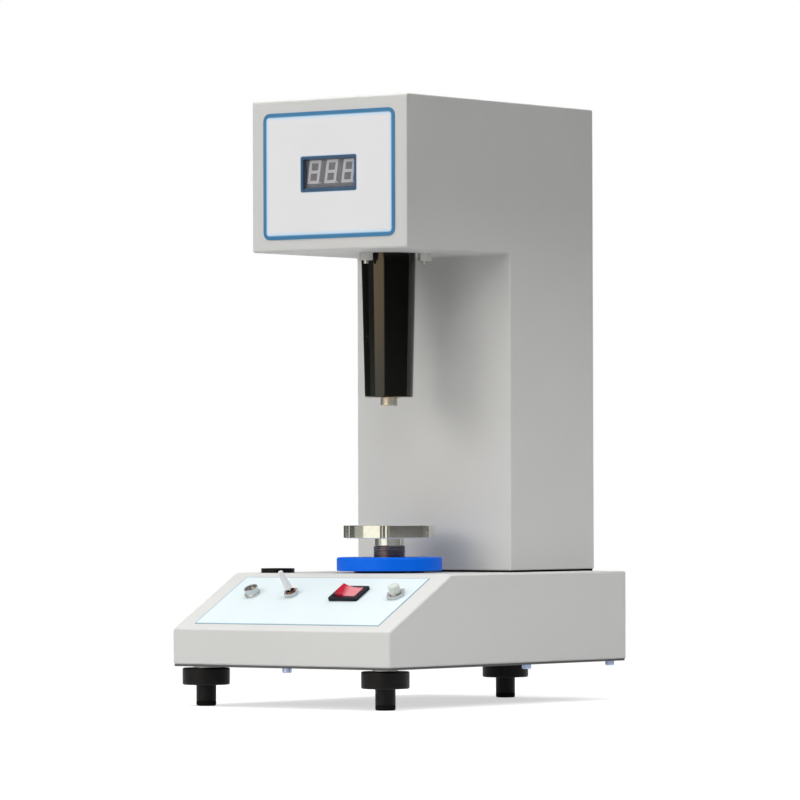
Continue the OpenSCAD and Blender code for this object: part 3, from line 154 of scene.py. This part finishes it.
class Finish(Nodes):
    """A material with one Principled shader, and the nodes that feed it."""

    def __init__(self, name, **constants):
        self.material = bpy.data.materials.new(name)
        self.material.use_nodes = True
        super().__init__(self.material.node_tree)
        self.shader = self.tree.nodes["Principled BSDF"]
        self.place = self.node("TexCoord", output="Object")
        self.give(**constants)

    def give(self, **values):
        """Sets or links the shader's sockets, named with _ for a space."""
        for key, value in values.items():
            self.feed(self.shader.inputs[key.replace("_", " ")], value)

    def along(self, axis):
        """The distance along X, Y or Z, in metres."""
        return self.node("SeparateXYZ", values=[self.place], output=axis)

    def noise(self, size, detail=2.0, stretch=(1, 1, 1)):
        """Smooth noise from 0 to 1 whose spots are about size across, in metres."""
        scaled = self.node("VectorMath", {"operation": "MULTIPLY"},
                           [self.place, tuple(s / size for s in stretch)])
        return self.node("TexNoise",
                         values={"Vector": scaled, "Scale": 1.0, "Detail": detail})

    def mix(self, first, second, share):
        return self.node("Mix", {"data_type": "RGBA"}, {0: share, 6: first, 7: second},
                         output=2)

    def rough(self, height, depth, strength=1.0):
        """A bump of height 0 to 1 that is depth metres deep."""
        self.give(Normal=self.node("Bump", values={"Strength": strength, "Distance": depth,
                                                   "Height": height}, output="Normal"))


def new_piece(name, mesh, finish, body, stands_for=()):
    """Puts a mesh, whose points are in place already, on its body with its finish."""
    piece = bpy.data.objects.new(name, mesh)
    bpy.context.scene.collection.objects.link(piece)
    mesh.materials.clear()
    mesh.materials.append(finish.material)
    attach(piece, body)
    if stands_for:
        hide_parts(*stands_for)
    return piece


body_of = {node: body for body, nodes in frame["record"]["behaviour"]["bodies"].items()
           for node in nodes}
least_fold = math.radians(28)                # edges that fold by more than this are rounded
crease = math.radians(40)                    # edges that fold by more stay sharp in the shading
flat = math.radians(0.8)                     # faces that meet at less are one flat face
weld = 0.002 * MM                            # points nearer than this are one point


def dressed(node, finish, width, chosen=None, segments=3):
    """Stands for a CAD node: the same form with its chosen sharp edges rounded to width."""
    shape = bmesh.new()
    shape.from_mesh(frame["nodes"][node].data)
    bmesh.ops.remove_doubles(shape, verts=shape.verts, dist=weld)
    bmesh.ops.dissolve_limit(shape, angle_limit=flat, use_dissolve_boundaries=False,
                             verts=shape.verts, edges=shape.edges)
    edges = [e for e in shape.edges if e.is_manifold and e.calc_face_angle(0) > least_fold
             and (chosen is None or chosen(e))]
    if width:
        bmesh.ops.bevel(shape, geom=edges, offset=width, segments=segments, profile=0.5,
                        affect="EDGES", clamp_overlap=True)
    for face in shape.faces:
        face.smooth = True
    for edge in shape.edges:
        if edge.is_manifold and edge.calc_face_angle(0) > crease:
            edge.smooth = False
    mesh = bpy.data.meshes.new(node + "_dressed")
    shape.to_mesh(mesh)
    shape.free()
    piece = new_piece(node + "_dressed", mesh, finish, body_of[node], [node])
    weighted = piece.modifiers.new("weighted", "WEIGHTED_NORMAL")
    weighted.keep_sharp = True
    weighted.weight = 100
    return piece


def on_sides(node):
    """Chooses the edges that lie in a housing's two outer side walls."""
    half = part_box(node)[1].x
    slack = 0.02 * MM
    return lambda edge: all(abs(abs(v.co.x) - half) < slack for v in edge.verts)


powder = Finish("powder_coat", Specular_IOR_Level=0.3)
cloud = powder.noise(50 * MM)
speck = powder.noise(1.1 * MM)
powder.give(Base_Color=powder.mix(tone(211, 211, 209), tone(216, 216, 214), cloud),
            Roughness=0.46 + 0.10 * speck)
powder.rough(powder.noise(1.4 * MM, detail=3.0), 0.03 * MM, 0.5)

dressed("base_cover", powder, 1.3 * MM, on_sides("base_cover"))
dressed("column_housing", powder, 0.8 * MM, on_sides("column_housing"))
for plate in ("base_rear_panel", "rear_cover"):
    dressed(plate, powder, 0.2 * MM, segments=2)

slate = Finish("dark_plate", Specular_IOR_Level=0.35)
slate.give(Base_Color=slate.mix(tone(78, 80, 80), tone(96, 98, 98), slate.noise(30 * MM)),
           Roughness=0.5 + 0.1 * slate.noise(1 * MM))
dressed("bottom_plate", slate, 0.2 * MM, segments=2)


# ---- Plated fasteners ----
# Screws, bolts, inserts and standoffs are zinc-plated steel, bright or faintly blue, and the
# sleeve's set screw is blackened. All are finely streaked by the tools that turned them.

def plated(name, light, roughness, streak=0.4 * MM, depth=0.008 * MM):
    """A metal finish whose colour wanders from light down to a little darker."""
    finish = Finish(name, Metallic=1.0)
    darker = 22
    grain = finish.noise(streak, stretch=(1, 1, 6))
    shade = finish.noise(4 * MM)
    finish.give(Base_Color=finish.mix(tone(*(v - darker for v in light)), tone(*light), shade),
                Roughness=roughness + 0.12 * grain)
    finish.rough(grain, depth, 0.4)
    return finish


zinc = plated("zinc_steel", (214, 216, 218), 0.24)
for fastener in ("rear_screws", "column_bolts", "sleeve_bolts", "foot_inserts", "housing_screws"):
    dressed(fastener, zinc, 0.12 * MM, segments=2)
blue_zinc = plated("blue_zinc_steel", (178, 192, 222), 0.24)
dressed("bottom_screws", blue_zinc, 0.12 * MM, segments=2)
black_steel = plated("black_steel", (52, 52, 52), 0.3)
dressed("sleeve_set_screw", black_steel, 0.12 * MM, segments=2)
for inner in ("board_standoffs", "magnet_standoffs"):
    dressed(inner, zinc, 0)


# ---- Levelling feet ----
# Each foot is one black moulding with a finger disc and a spindle, on a threaded stud that
# turns in the insert of the bottom plate. A rubber tip is pushed into the spindle.

moulded = Finish("black_moulding", Specular_IOR_Level=0.16)
moulded.give(Base_Color=moulded.mix(tone(8, 8, 10), tone(15, 15, 18), moulded.noise(6 * MM)),
             Roughness=0.34 + 0.14 * moulded.noise(2 * MM))
moulded.rough(moulded.noise(0.7 * MM), 0.01 * MM, 0.5)

rubber = Finish("black_rubber", Specular_IOR_Level=0.12)
rubber.give(Base_Color=rubber.mix(tone(9, 9, 9), tone(20, 20, 19), rubber.noise(3 * MM)),
            Roughness=0.72 + 0.14 * rubber.noise(1 * MM))
rubber.rough(rubber.noise(0.5 * MM), 0.03 * MM, 0.6)

for foot in ("front_left", "front_right", "rear"):
    dressed(foot + "_foot", moulded, 0.35 * MM)
    dressed(foot + "_tip", rubber, 0.2 * MM, segments=2)


# ---- Column gasket ----
# A flat frame in black rubber between the foot of the column and the top of the base, dark
# along the line where they meet.

dressed("column_gasket", rubber, 0.15 * MM, segments=2)


# ---- Display film ----
# A printed polyester film on the front of the head: white, with a blue line round its edge
# that bleeds to pale blue inwards, and a dark blue frame round the display window.

def rounded_outline(finish, across, up, half_width, half_height, radius):
    """Distance outside a rounded rectangle, negative inside, from two centred distances."""
    over_x = abs(across) - (half_width - radius)
    over_y = abs(up) - (half_height - radius)
    past_x, past_y = over_x.most(0.0), over_y.most(0.0)
    corner = finish.node("Math", {"operation": "SQRT"}, [past_x * past_x + past_y * past_y])
    return corner + over_x.most(over_y).least(0.0) - radius


film_low, film_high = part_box("display_film")
pane_low, pane_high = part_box("display_window")
film_mid = (film_low + film_high) / 2
pane_mid = (pane_low + pane_high) / 2
film_corner = 4.5 * MM
pane_corner = 0.8 * MM
border = 2.5 * MM                            # the blue line, from the film's edge inwards
bleed = 2.8 * MM                             # the pale blue, from the line inwards
halo = 1.6 * MM                              # the pale blue, from the window outwards

printed = Finish("display_print", Specular_IOR_Level=0.35)
edge = rounded_outline(printed, printed.along(0) - film_mid.x, printed.along(2) - film_mid.z,
                       (film_high.x - film_low.x) / 2, (film_high.z - film_low.z) / 2,
                       film_corner)
window = rounded_outline(printed, printed.along(0) - pane_mid.x, printed.along(2) - pane_mid.z,
                         (pane_high.x - pane_low.x) / 2, (pane_high.z - pane_low.z) / 2,
                         pane_corner)
ink = printed.mix(tone(48, 116, 160), tone(66, 132, 178), printed.noise(30 * MM))
ground = printed.mix(tone(234, 234, 236), tone(240, 240, 242), printed.noise(40 * MM))
glow = edge.step(-border - bleed, -border)
ground = printed.mix(ground, tone(190, 228, 255), glow * glow)
ground = printed.mix(ground, ink, edge.step(-border - 0.35 * MM, -border + 0.45 * MM))
near_window = 1.0 - window.step(0.3 * MM, halo)
ground = printed.mix(ground, tone(204, 226, 248), near_window * near_window)
past_frame = window.step(0.25 * MM, 0.6 * MM)
printed.give(Base_Color=printed.mix(tone(52, 86, 120), ground, past_frame),
             Roughness=0.36 + 0.08 * printed.noise(2 * MM))
printed.rough(printed.noise(0.6 * MM), 0.01 * MM, 0.4)
dressed("display_film", printed, 0)


# ---- Display window and digits ----
# A clear pane in the head, and behind it a block with three seven-segment digits. The
# segments are slanted, unlit and milky, each digit with its decimal point.

pane = Finish("window_lens", Roughness=0.04, Transmission_Weight=1.0, IOR=1.12)
pane.give(Base_Color=pane.mix(tone(232, 236, 240), tone(246, 248, 250), pane.noise(10 * MM)))
frame["nodes"]["display_window"].data.materials.clear()
frame["nodes"]["display_window"].data.materials.append(pane.material)

led_face = Finish("led_face", Specular_IOR_Level=0.4)
led_face.give(Base_Color=led_face.mix(tone(94, 88, 88), tone(106, 99, 98),
                                      led_face.noise(6 * MM)),
              Roughness=0.42 + 0.1 * led_face.noise(1 * MM))
dressed("led_display", led_face, 0.15 * MM, segments=2)

milky = Finish("led_segments", Specular_IOR_Level=0.4)
milky.give(Base_Color=milky.mix(tone(166, 161, 160), tone(177, 172, 170), milky.noise(2 * MM)),
           Roughness=0.38 + 0.08 * milky.noise(1 * MM))

led_low, led_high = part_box("led_display")
digit_height = 13.9 * MM
digit_width = 8.5 * MM
digit_pitch = 12.7 * MM
digit_slant = math.tan(math.radians(9.5))
digits_up = 1.35 * MM                        # middle of the digits above the block's middle
digits_left = 0.1 * MM
bar = 1.75 * MM
bar_gap = 0.05 * MM
dot_radius = 0.5 * MM
dot_right = 0.95 * MM                        # middle of a decimal point past its digit's side
proud = 0.08 * MM                            # the segments stand off the block's face
sunk = 0.1 * MM                              # and reach into it


def as_mesh(name, shape):
    """The finished shape as a mesh of its own."""
    mesh = bpy.data.meshes.new(name)
    shape.to_mesh(mesh)
    shape.free()
    return mesh


def mirrored(outline, across, up):
    """An outline turned over left to right, upside down or both, still counter-clockwise."""
    turned = [Vector((p.x * across, p.y * up)) for p in outline]
    return turned if across == up else list(reversed(turned))


def slab(shape, outline, back, front):
    """Adds a flat closed slab between two depths from a counter-clockwise outline (x, z)."""
    rear = [shape.verts.new((p.x, back, p.y)) for p in outline]
    face = [shape.verts.new((p.x, front, p.y)) for p in outline]
    count = len(outline)
    shape.faces.new(face)
    shape.faces.new(list(reversed(rear)))
    for k in range(count):
        after = (k + 1) % count
        shape.faces.new((face[k], rear[k], rear[after], face[after]))


segments = bmesh.new()
half_w = digit_width / 2
half_h = digit_height / 2
top_bar = [Vector(p) for p in (
    (-half_w + bar_gap, half_h), (-half_w + bar + bar_gap, half_h - bar),
    (half_w - bar - bar_gap, half_h - bar), (half_w - bar_gap, half_h))]
side_bar = [Vector(p) for p in (
    (-half_w, half_h - bar_gap), (-half_w, bar_gap), (-half_w + bar / 2, bar_gap),
    (-half_w + bar, bar / 2 + bar_gap), (-half_w + bar, half_h - bar - bar_gap))]
middle_bar = [Vector(p) for p in (
    (-half_w + bar / 2 + bar_gap, 0), (-half_w + bar + bar_gap, -bar / 2),
    (half_w - bar - bar_gap, -bar / 2), (half_w - bar / 2 - bar_gap, 0),
    (half_w - bar - bar_gap, bar / 2), (-half_w + bar + bar_gap, bar / 2))]
bars = ([middle_bar] + [mirrored(top_bar, 1, up) for up in (1, -1)]
        + [mirrored(side_bar, across, up) for across in (1, -1) for up in (1, -1)])
dot_middle = Vector((half_w + dot_right, -half_h + dot_radius))
dot = [dot_middle + Vector((math.cos(a), math.sin(a))) * dot_radius
       for a in (2 * math.pi * k / 16 for k in range(16))]
digit_mid_z = (led_low.z + led_high.z) / 2 + digits_up
for digit in (-1, 0, 1):
    middle = Vector((digit * digit_pitch - digits_left, digit_mid_z))
    for outline in bars + [dot]:
        placed = [middle + Vector((p.x + p.y * digit_slant, p.y)) for p in outline]
        slab(segments, placed, led_low.y + sunk, led_low.y - proud)
new_piece("led_segments", as_mesh("led_segments", segments), milky, "base")

# A dark blue moulded surround fills the gap between the block and the sheet round it, and
# its lip covers the block's lower edge.
surround = Finish("display_surround", Specular_IOR_Level=0.3)
surround.give(Base_Color=surround.mix(tone(66, 78, 96), tone(80, 90, 108),
                                      surround.noise(4 * MM)),
              Roughness=0.5)
rim = bmesh.new()
lip = 1.9 * MM
slip = 0.1 * MM                              # clearance round the block and behind the pane
overlap = 2.2 * MM                           # the surround reaches this far past the window
pane_half = (pane_high - pane_low) / 2
rings = []
for y in (pane_high.y + slip, led_low.y - slip / 2):
    for half_x, low_z, high_z in (
            ((led_high.x - led_low.x) / 2 + slip, led_low.z + lip, led_high.z + slip),
            (pane_half.x + overlap, pane_low.z - overlap, pane_high.z + overlap)):
        rings.append([rim.verts.new((sx * half_x, y, z))
                      for sx, z in ((-1, low_z), (1, low_z), (1, high_z), (-1, high_z))])
front_in, front_out, back_in, back_out = rings
for k in range(4):
    after = (k + 1) % 4
    rim.faces.new((front_in[k], front_in[after], front_out[after], front_out[k]))
    rim.faces.new((back_out[k], back_out[after], back_in[after], back_in[k]))
    rim.faces.new((front_out[k], front_out[after], back_out[after], back_out[k]))
    rim.faces.new((back_in[k], back_in[after], front_in[after], front_in[k]))
bmesh.ops.recalc_face_normals(rim, faces=rim.faces)
new_piece("display_surround", as_mesh("display_surround", rim), surround, "base")


# ---- Circuit boards ----
# The display board in the head and the main board in the base: glass-fibre sheet with a
# grid of copper tracks under green solder mask, and the chips soldered on.

board = Finish("circuit_board", Specular_IOR_Level=0.4)
tracks = board.node("TexBrick", {"offset": 0.5},
                    {"Vector": board.place, "Scale": 160.0, "Mortar Size": 0.03}, output="Fac")
board.give(Base_Color=board.mix(tone(24, 92, 52), tone(58, 132, 78), tracks),
           Roughness=0.38 + 0.1 * board.noise(2 * MM))
for card in ("display_board", "main_board"):
    dressed(card, board, 0)


# ---- Sleeve and its fixings ----
# The tapered sleeve is turned steel in gloss black enamel, with two bronze bushes pressed
# into it to guide the rod. Its three bolts have pale nylon nuts.

enamel = Finish("black_enamel", Specular_IOR_Level=0.55)
enamel.give(Base_Color=enamel.mix(tone(6, 8, 5), tone(12, 14, 10), enamel.noise(20 * MM)),
            Roughness=0.08 + 0.05 * enamel.noise(3 * MM))
enamel.rough(enamel.noise(2.5 * MM), 0.01 * MM, 0.35)
dressed("sleeve", enamel, 0.25 * MM)

nylon = Finish("grey_nylon", Specular_IOR_Level=0.3)
nylon.give(Base_Color=nylon.mix(tone(208, 207, 202), tone(224, 223, 218), nylon.noise(4 * MM)),
           Roughness=0.45 + 0.12 * nylon.noise(1 * MM))
dressed("sleeve_nuts", nylon, 0.35 * MM)

bronze = plated("bronze", (196, 158, 96), 0.3)
dressed("guide_bushes", bronze, 0)


# ---- Measuring rod, its sensor and release magnet ----
# A ground steel rod with its cone holder below. Above, inside the head, it carries a soft
# iron armature under the pot magnet, and an aluminium link to the displacement sensor.

ground_steel = plated("ground_steel", (204, 200, 190), 0.32, streak=0.3 * MM)
for turned in ("measuring_rod", "cone_holder"):
    dressed(turned, ground_steel, 0.15 * MM, segments=2)
iron = plated("soft_iron", (112, 114, 117), 0.42)
for part in ("rod_armature", "magnet_pot"):
    dressed(part, iron, 0)
aluminium = plated("machined_aluminium", (196, 198, 200), 0.32)
for part in ("sensor_link", "magnet_plate"):
    dressed(part, aluminium, 0)
copper = Finish("copper_winding", Specular_IOR_Level=0.5)
turns = copper.node("TexWave", {"wave_type": "BANDS", "bands_direction": "Z"},
                    {"Vector": copper.place, "Scale": 300.0}, output="Fac")
copper.give(Base_Color=copper.mix(tone(120, 58, 28), tone(196, 108, 60), turns),
            Roughness=0.35)
copper.rough(turns, 0.1 * MM)
dressed("magnet_coil", copper, 0)
case = Finish("sensor_case", Specular_IOR_Level=0.4)
case.give(Base_Color=case.mix(tone(52, 55, 62), tone(64, 68, 76), case.noise(4 * MM)),
          Roughness=0.5)
dressed("displacement_sensor", case, 0)


# ---- Transformer ----
# A stack of iron sheets round a coil that is wrapped in yellow tape, on the base's floor.

tape = Finish("coil_tape", Specular_IOR_Level=0.4)
tape.give(Base_Color=tape.mix(tone(204, 170, 64), tone(222, 192, 92), tape.noise(8 * MM)),
          Roughness=0.45)
dressed("transformer_coil", tape, 0)
dressed("transformer_core", iron, 0)


# ---- Control film ----
# A printed polyester film, stuck to the slope, that the controls are fixed through. It is a
# very pale blue, with one thin grey-blue line round its edge.

slope_low, slope_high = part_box("control_film")
base_height, front_height, slope_run = 54.3 * MM, 22 * MM, 59.2 * MM
slope_tilt = math.atan2(base_height - front_height, slope_run)
line_width = 0.8 * MM
line_fade = 0.3 * MM
line_corner = 0.2 * MM
controls = Finish("panel_print", Specular_IOR_Level=0.35)
half_across = (slope_high.x - slope_low.x) / 2
half_run = (slope_high.y - slope_low.y) / 2
run_mid = (slope_low.y + slope_high.y) / 2
line = rounded_outline(controls, controls.along(0),
                       (controls.along(1) - run_mid) / math.cos(slope_tilt),
                       half_across, half_run / math.cos(slope_tilt), line_corner)
pale = controls.mix(tone(222, 235, 238), tone(227, 237, 240), controls.noise(30 * MM))
controls.give(Base_Color=controls.mix(pale, tone(150, 180, 196),
                                      line.step(-line_width, line_fade - line_width)),
              Roughness=0.34 + 0.08 * controls.noise(2 * MM))
controls.rough(controls.noise(0.6 * MM), 0.01 * MM, 0.4)
dressed("control_film", controls, 0)


# ---- Rocker switch ----
# A snap-in switch: a blue-black moulded bezel and body, and a translucent red paddle that
# rocks on two pins. The paddle's colour holds painted shade and painted light: deep red on
# its left, paling to pink towards its right.

bezel = Finish("bezel_plastic", Specular_IOR_Level=0.2)
bezel.give(Base_Color=bezel.mix(tone(14, 17, 28), tone(22, 26, 38), bezel.noise(3 * MM)),
           Roughness=0.38 + 0.1 * bezel.noise(1 * MM))
dressed("rocker_housing", bezel, 0.25 * MM)
red = Finish("red_plastic", Specular_IOR_Level=0.55)
paddle_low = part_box("rocker_paddle")[0]
slant = 0.4                                  # the painted light grows along X, and a little along Y
shade_end, light_end = 1.5 * MM, 9.5 * MM     # both from its front left corner
# Painted shade and light: deep red at the paddle's left, paling to pink at its right as if lit
# through.
light_share = (red.along(0) + slant * red.along(1)
        - (paddle_low.x + slant * paddle_low.y)).step(shade_end, light_end)
shaded_red = red.mix(tone(120, 8, 28), tone(196, 28, 58), light_share.step(0.0, 0.4))
lit_red = red.mix(shaded_red, tone(240, 164, 170), light_share.step(0.62, 1.05) * 0.8)
red.give(Base_Color=red.mix(lit_red, tone(186, 30, 58), 0.4 * red.noise(3 * MM)),
         Roughness=0.16 + 0.06 * red.noise(2 * MM))
dressed("rocker_paddle", red, 0.3 * MM)


# ---- Toggle switch, push button and signal socket ----
# Chrome-plated nuts, a chrome lever in a white grip, a milky button cap, and a hollow chrome
# barrel for the signal plug. The toggle's blue case has a bare bronze bushing on top.

chrome = plated("chrome_plate", (206, 207, 209), 0.06, streak=0.6 * MM, depth=0.001 * MM)
for plain in ("toggle_nut", "toggle_lever", "button_nut", "signal_socket"):
    dressed(plain, chrome, 0.2 * MM)
dressed("button_body", zinc, 0.15 * MM)
blue_case = Finish("blue_case", Specular_IOR_Level=0.4)
rise_z, rise_y = math.cos(slope_tilt), -math.sin(slope_tilt)
over_panel = (blue_case.along(2) * rise_z + blue_case.along(1) * rise_y
              - (slope_low.z * rise_z + slope_low.y * rise_y))
bush_low = -0.6 * MM                         # the bushing starts below the film's lower edge
bush = over_panel.step(bush_low, bush_low + 0.1 * MM)
case_blue = blue_case.mix(tone(40, 66, 140), tone(52, 80, 156), blue_case.noise(4 * MM))
blue_case.give(Base_Color=blue_case.mix(case_blue, tone(168, 118, 98), bush), Metallic=bush,
               Roughness=0.5 - 0.28 * bush)
dressed("toggle_body", blue_case, 0.15 * MM)
grip = Finish("white_grip", Specular_IOR_Level=0.45)
grip.give(Base_Color=grip.mix(tone(222, 224, 227), tone(232, 234, 236), grip.noise(3 * MM)),
          Roughness=0.32 + 0.08 * grip.noise(1 * MM))
dressed("toggle_grip", grip, 0.25 * MM)
cap = Finish("button_plastic", Specular_IOR_Level=0.45)
cap.give(Base_Color=cap.mix(tone(206, 213, 206), tone(216, 222, 216), cap.noise(3 * MM)),
         Roughness=0.34 + 0.08 * cap.noise(1 * MM))
dressed("button_cap", cap, 0.25 * MM)


# ---- Bubble level ----
# A round level stuck to the top of the base: a moulded black cup, and in it a clear vial
# that holds yellow-green tinted spirit.

dressed("level_body", moulded, 0.2 * MM)
spirit = Finish("level_glass", Roughness=0.05, Transmission_Weight=0.6, IOR=1.4)
spirit.give(Base_Color=spirit.mix(tone(188, 214, 92), tone(204, 226, 120),
                                  spirit.noise(4 * MM)))
dressed("level_vial", spirit, 0.2 * MM)


# ---- Sample lift ----
# A blue plastic hand-wheel nut turns on a thrust washer, painted near-black navy as the shade
# in the gap under the wheel, in a bearing housing that a snap ring holds it to, and lifts a
# blackened screw that a key keeps from turning. On the screw sits the notched stage,
# nickel-plated and polished, that a sample cup stands on.

blue = Finish("blue_plastic", Specular_IOR_Level=0.14)
blue.give(Base_Color=blue.mix(tone(0, 104, 234), tone(2, 112, 244), blue.noise(10 * MM)),
          Roughness=0.36 + 0.1 * blue.noise(1 * MM, stretch=(1, 1, 4)))
blue.rough(blue.noise(0.8 * MM, stretch=(1, 1, 5)), 0.01 * MM, 0.4)
dressed("lift_wheel", blue, 0.5 * MM)

nickel = plated("polished_nickel", (232, 232, 226), 0.05, streak=0.5 * MM,
                depth=0.0006 * MM)
dressed("sample_stage", nickel, 0.5 * MM)

oxide = Finish("black_oxide", Metallic=0.85)
oxide.give(Base_Color=oxide.mix(tone(118, 110, 108), tone(152, 142, 138), oxide.noise(2 * MM)),
           Roughness=0.24 + 0.10 * oxide.noise(0.6 * MM))
screw_low, screw_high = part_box("lift_screw")
wheel_low, wheel_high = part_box("lift_wheel")
lift_axis = (wheel_low + wheel_high) / 2
thread_pitch = 1.5 * MM
thread_depth = 0.5 * MM
keyway_turn = math.radians(90)               # the keyway faces the column
keyway_half = 1.6 * MM
keyway_depth = 1.6 * MM


def threaded(radius, low, high):
    """A closed right-hand thread round the lift's axis, with the keyway cut along it."""
    shape = bmesh.new()
    around, per_turn = 56, 10                # points round the screw, and rows in one pitch
    flank, root = 4.0, 0.2                   # how steep the flanks are, and where they start
    rows = round((high - low) / thread_pitch * per_turn)
    rings = []
    for row in range(rows + 1):
        z = low + (high - low) * row / rows
        ring = []
        for k in range(around):
            turn = 2 * math.pi * k / around
            phase = ((z - low) / thread_pitch - k / around) % 1.0
            crest = min(1.0, max(0.0, flank * (0.5 - abs(phase - 0.5)) - root))
            if row in (0, rows):
                crest = 0.0
            reach = radius - thread_depth * (1 - crest)
            off_keyway = abs((turn - keyway_turn + math.pi) % (2 * math.pi) - math.pi)
            if off_keyway < keyway_half / radius:
                reach = min(reach, radius - keyway_depth)
            ring.append(shape.verts.new((lift_axis.x + reach * math.cos(turn),
                                         lift_axis.y + reach * math.sin(turn), z)))
        rings.append(ring)
    for below, above in zip(rings, rings[1:]):
        for k in range(around):
            after = (k + 1) % around
            shape.faces.new((below[k], below[after], above[after], above[k]))
    shape.faces.new(list(reversed(rings[0])))
    shape.faces.new(rings[-1])
    for face in shape.faces:
        face.smooth = len(face.verts) == 4
    return shape


screw = threaded((screw_high.x - screw_low.x) / 2, screw_low.z, screw_high.z)
new_piece("lift_thread", as_mesh("lift_thread", screw), oxide, "stage",
          ["lift_screw"])

# The washer's near-black navy is painted shade: it stands for the dark gap under the wheel.
washer = Finish("washer_plastic", Specular_IOR_Level=0.4)
washer.give(Base_Color=washer.mix(tone(14, 22, 50), tone(20, 30, 62), washer.noise(4 * MM)),
            Roughness=0.5)
dressed("thrust_washer", washer, 0.1 * MM, segments=2)
dressed("lift_housing", aluminium, 0)
dressed("screw_guide", bronze, 0)
spring = plated("spring_steel", (96, 96, 99), 0.35)
dressed("retaining_ring", spring, 0)


# ---- Mains inlet ----
# A black moulded inlet with three pins in an open recess, where the mains cord plugs in. Two
# screws hold its flange to the rear panel.

dressed("power_inlet", moulded, 0.15 * MM, segments=2)


# ---- Floor, backdrop and lamps ----
# A pale floor that fades into a white surround, a dim room for gloss and metal to mirror, and
# soft lamps: the strongest above, and weaker ones all round that open the shadows.

floor_mesh = bpy.data.meshes.new("floor")
floor_half = 20.0
floor_mesh.from_pydata([(-floor_half, -floor_half, 0), (floor_half, -floor_half, 0),
                        (floor_half, floor_half, 0), (-floor_half, floor_half, 0)],
                       [], [(0, 1, 2, 3)])
floor = bpy.data.objects.new("floor", floor_mesh)
bpy.context.scene.collection.objects.link(floor)


def in_view(nodes):
    """1 for what is seen, straight, in gloss or through a lens, and 0 for what only lights."""
    straight, gloss, lens = (nodes.node("LightPath", output=ray) for ray in (
        "Is Camera Ray", "Is Glossy Ray", "Is Transmission Ray"))
    return straight.most(gloss).most(lens)


def grey(value):
    return (value, value, value, 1)


paving = Finish("floor", Roughness=1.0, Specular_IOR_Level=0.0)
out_from_middle = paving.node("VectorMath", {"operation": "LENGTH"}, [paving.place],
                              output="Value")
paving.give(Base_Color=paving.mix(grey(0.62), grey(0.2), out_from_middle.step(0.25, 0.7)),
            Emission_Color=paving.mix(grey(0.6), grey(1), out_from_middle.step(0.35, 1.0)),
            Emission_Strength=in_view(paving))
floor_mesh.materials.append(paving.material)

world = bpy.data.worlds.new("world")
bpy.context.scene.world = world
world.use_nodes = True
background = world.node_tree.nodes["Background"]
background.inputs["Color"].default_value = grey(1)
surroundings = Nodes(world.node_tree)
surroundings.feed(background.inputs["Strength"], in_view(surroundings))

# Gloss and metal also mirror the dim room in front of the device, with one warm window. Its
# walls change from the lower colour to the upper one at the height of the sleeve.
room_radius, room_height = 2.4, 2.2
change_low, change_high = 0.16, 0.20
strips = 12
for part, first, last, light_low, light_high in (
        ("left_end", -180, -150, (0.28, 0.28, 0.27), (0.05, 0.05, 0.045)),
        ("dim_wall_left", -150, -60, (0.12, 0.12, 0.12), (0.03, 0.03, 0.027)),
        ("window_side", -60, -31, (0.46, 0.48, 0.40), (0.16, 0.16, 0.15)),
        ("warm_window", -31, 17, (1.25, 1.24, 1.12), (2.3, 1.75, 1.1)),
        ("window_frame", 17, 22, (0.06, 0.05, 0.04), (0.35, 0.20, 0.08)),
        ("dim_wall_right", 22, 150, (0.12, 0.116, 0.11), (0.03, 0.03, 0.027)),
        ("right_end", 150, 168, (0.35, 0.35, 0.33), (0.05, 0.05, 0.045))):
    wall = bpy.data.meshes.new(part)
    across = [math.radians(first + (last - first) * k / strips) for k in range(strips + 1)]
    points = [(room_radius * math.sin(a), -room_radius * math.cos(a), z)
              for z in (0.0, room_height) for a in across]
    wall.from_pydata(points, [], [(k, k + 1, k + strips + 2, k + strips + 1)
                                  for k in range(strips)])
    screen = bpy.data.objects.new(part, wall)
    screen.visible_camera = False
    screen.visible_diffuse = False
    screen.visible_transmission = False
    screen.visible_shadow = False
    bpy.context.scene.collection.objects.link(screen)
    paint = Finish(part, Base_Color=(0, 0, 0, 1), Specular_IOR_Level=0.0, Emission_Strength=1.0)
    paint.give(Emission_Color=paint.mix((*light_low, 1), (*light_high, 1),
                                        paint.along(2).step(change_low, change_high)))
    wall.materials.append(paint.material)

lamps_aim = Vector((0, -0.02, 0.17))


def lamp(name, azimuth, elevation, distance, width, height, watts):
    """A soft rectangular lamp that points at the device. Azimuth 0 is in front of it."""
    turn, lift = math.radians(azimuth), math.radians(elevation)
    away = Vector((math.sin(turn) * math.cos(lift), -math.cos(turn) * math.cos(lift),
                   math.sin(lift)))
    light = bpy.data.lights.new(name, "AREA")
    light.shape = "RECTANGLE"
    light.size, light.size_y = width, height
    light.energy = watts
    holder = bpy.data.objects.new(name, light)
    holder.location = lamps_aim + away * distance
    holder.rotation_euler = (-away).to_track_quat("-Z", "Y").to_euler()
    holder.visible_camera = False
    holder.visible_glossy = False
    bpy.context.scene.collection.objects.link(holder)
    return holder


lamp("front_left", -35, 25, 1.6, 1.0, 1.0, 8.9)
lamp("front", -5, 12, 1.8, 1.0, 0.8, 5.8)
lamp("corner", 38, 30, 1.8, 0.8, 0.8, 4.7)
lamp("right_high", 90, 45, 1.7, 1.0, 1.0, 5.6)
lamp("top", 0, 86, 1.5, 1.2, 1.2, 20)
lamp("left", -80, 20, 1.7, 1.0, 1.0, 3.2)
lamp("back", 200, 30, 1.8, 1.0, 1.0, 6)
# One more hangs low at the right and faces the floor, whose glow brightens the base's side.
floor_right = lamp("floor_right", 90, 0, 1.0, 0.35, 0.8, 0.9)
floor_right.location = (0.42, -0.02, 0.30)
floor_right.rotation_euler = (0, 0, 0)

bpy.context.scene.view_settings.view_transform = "Standard"
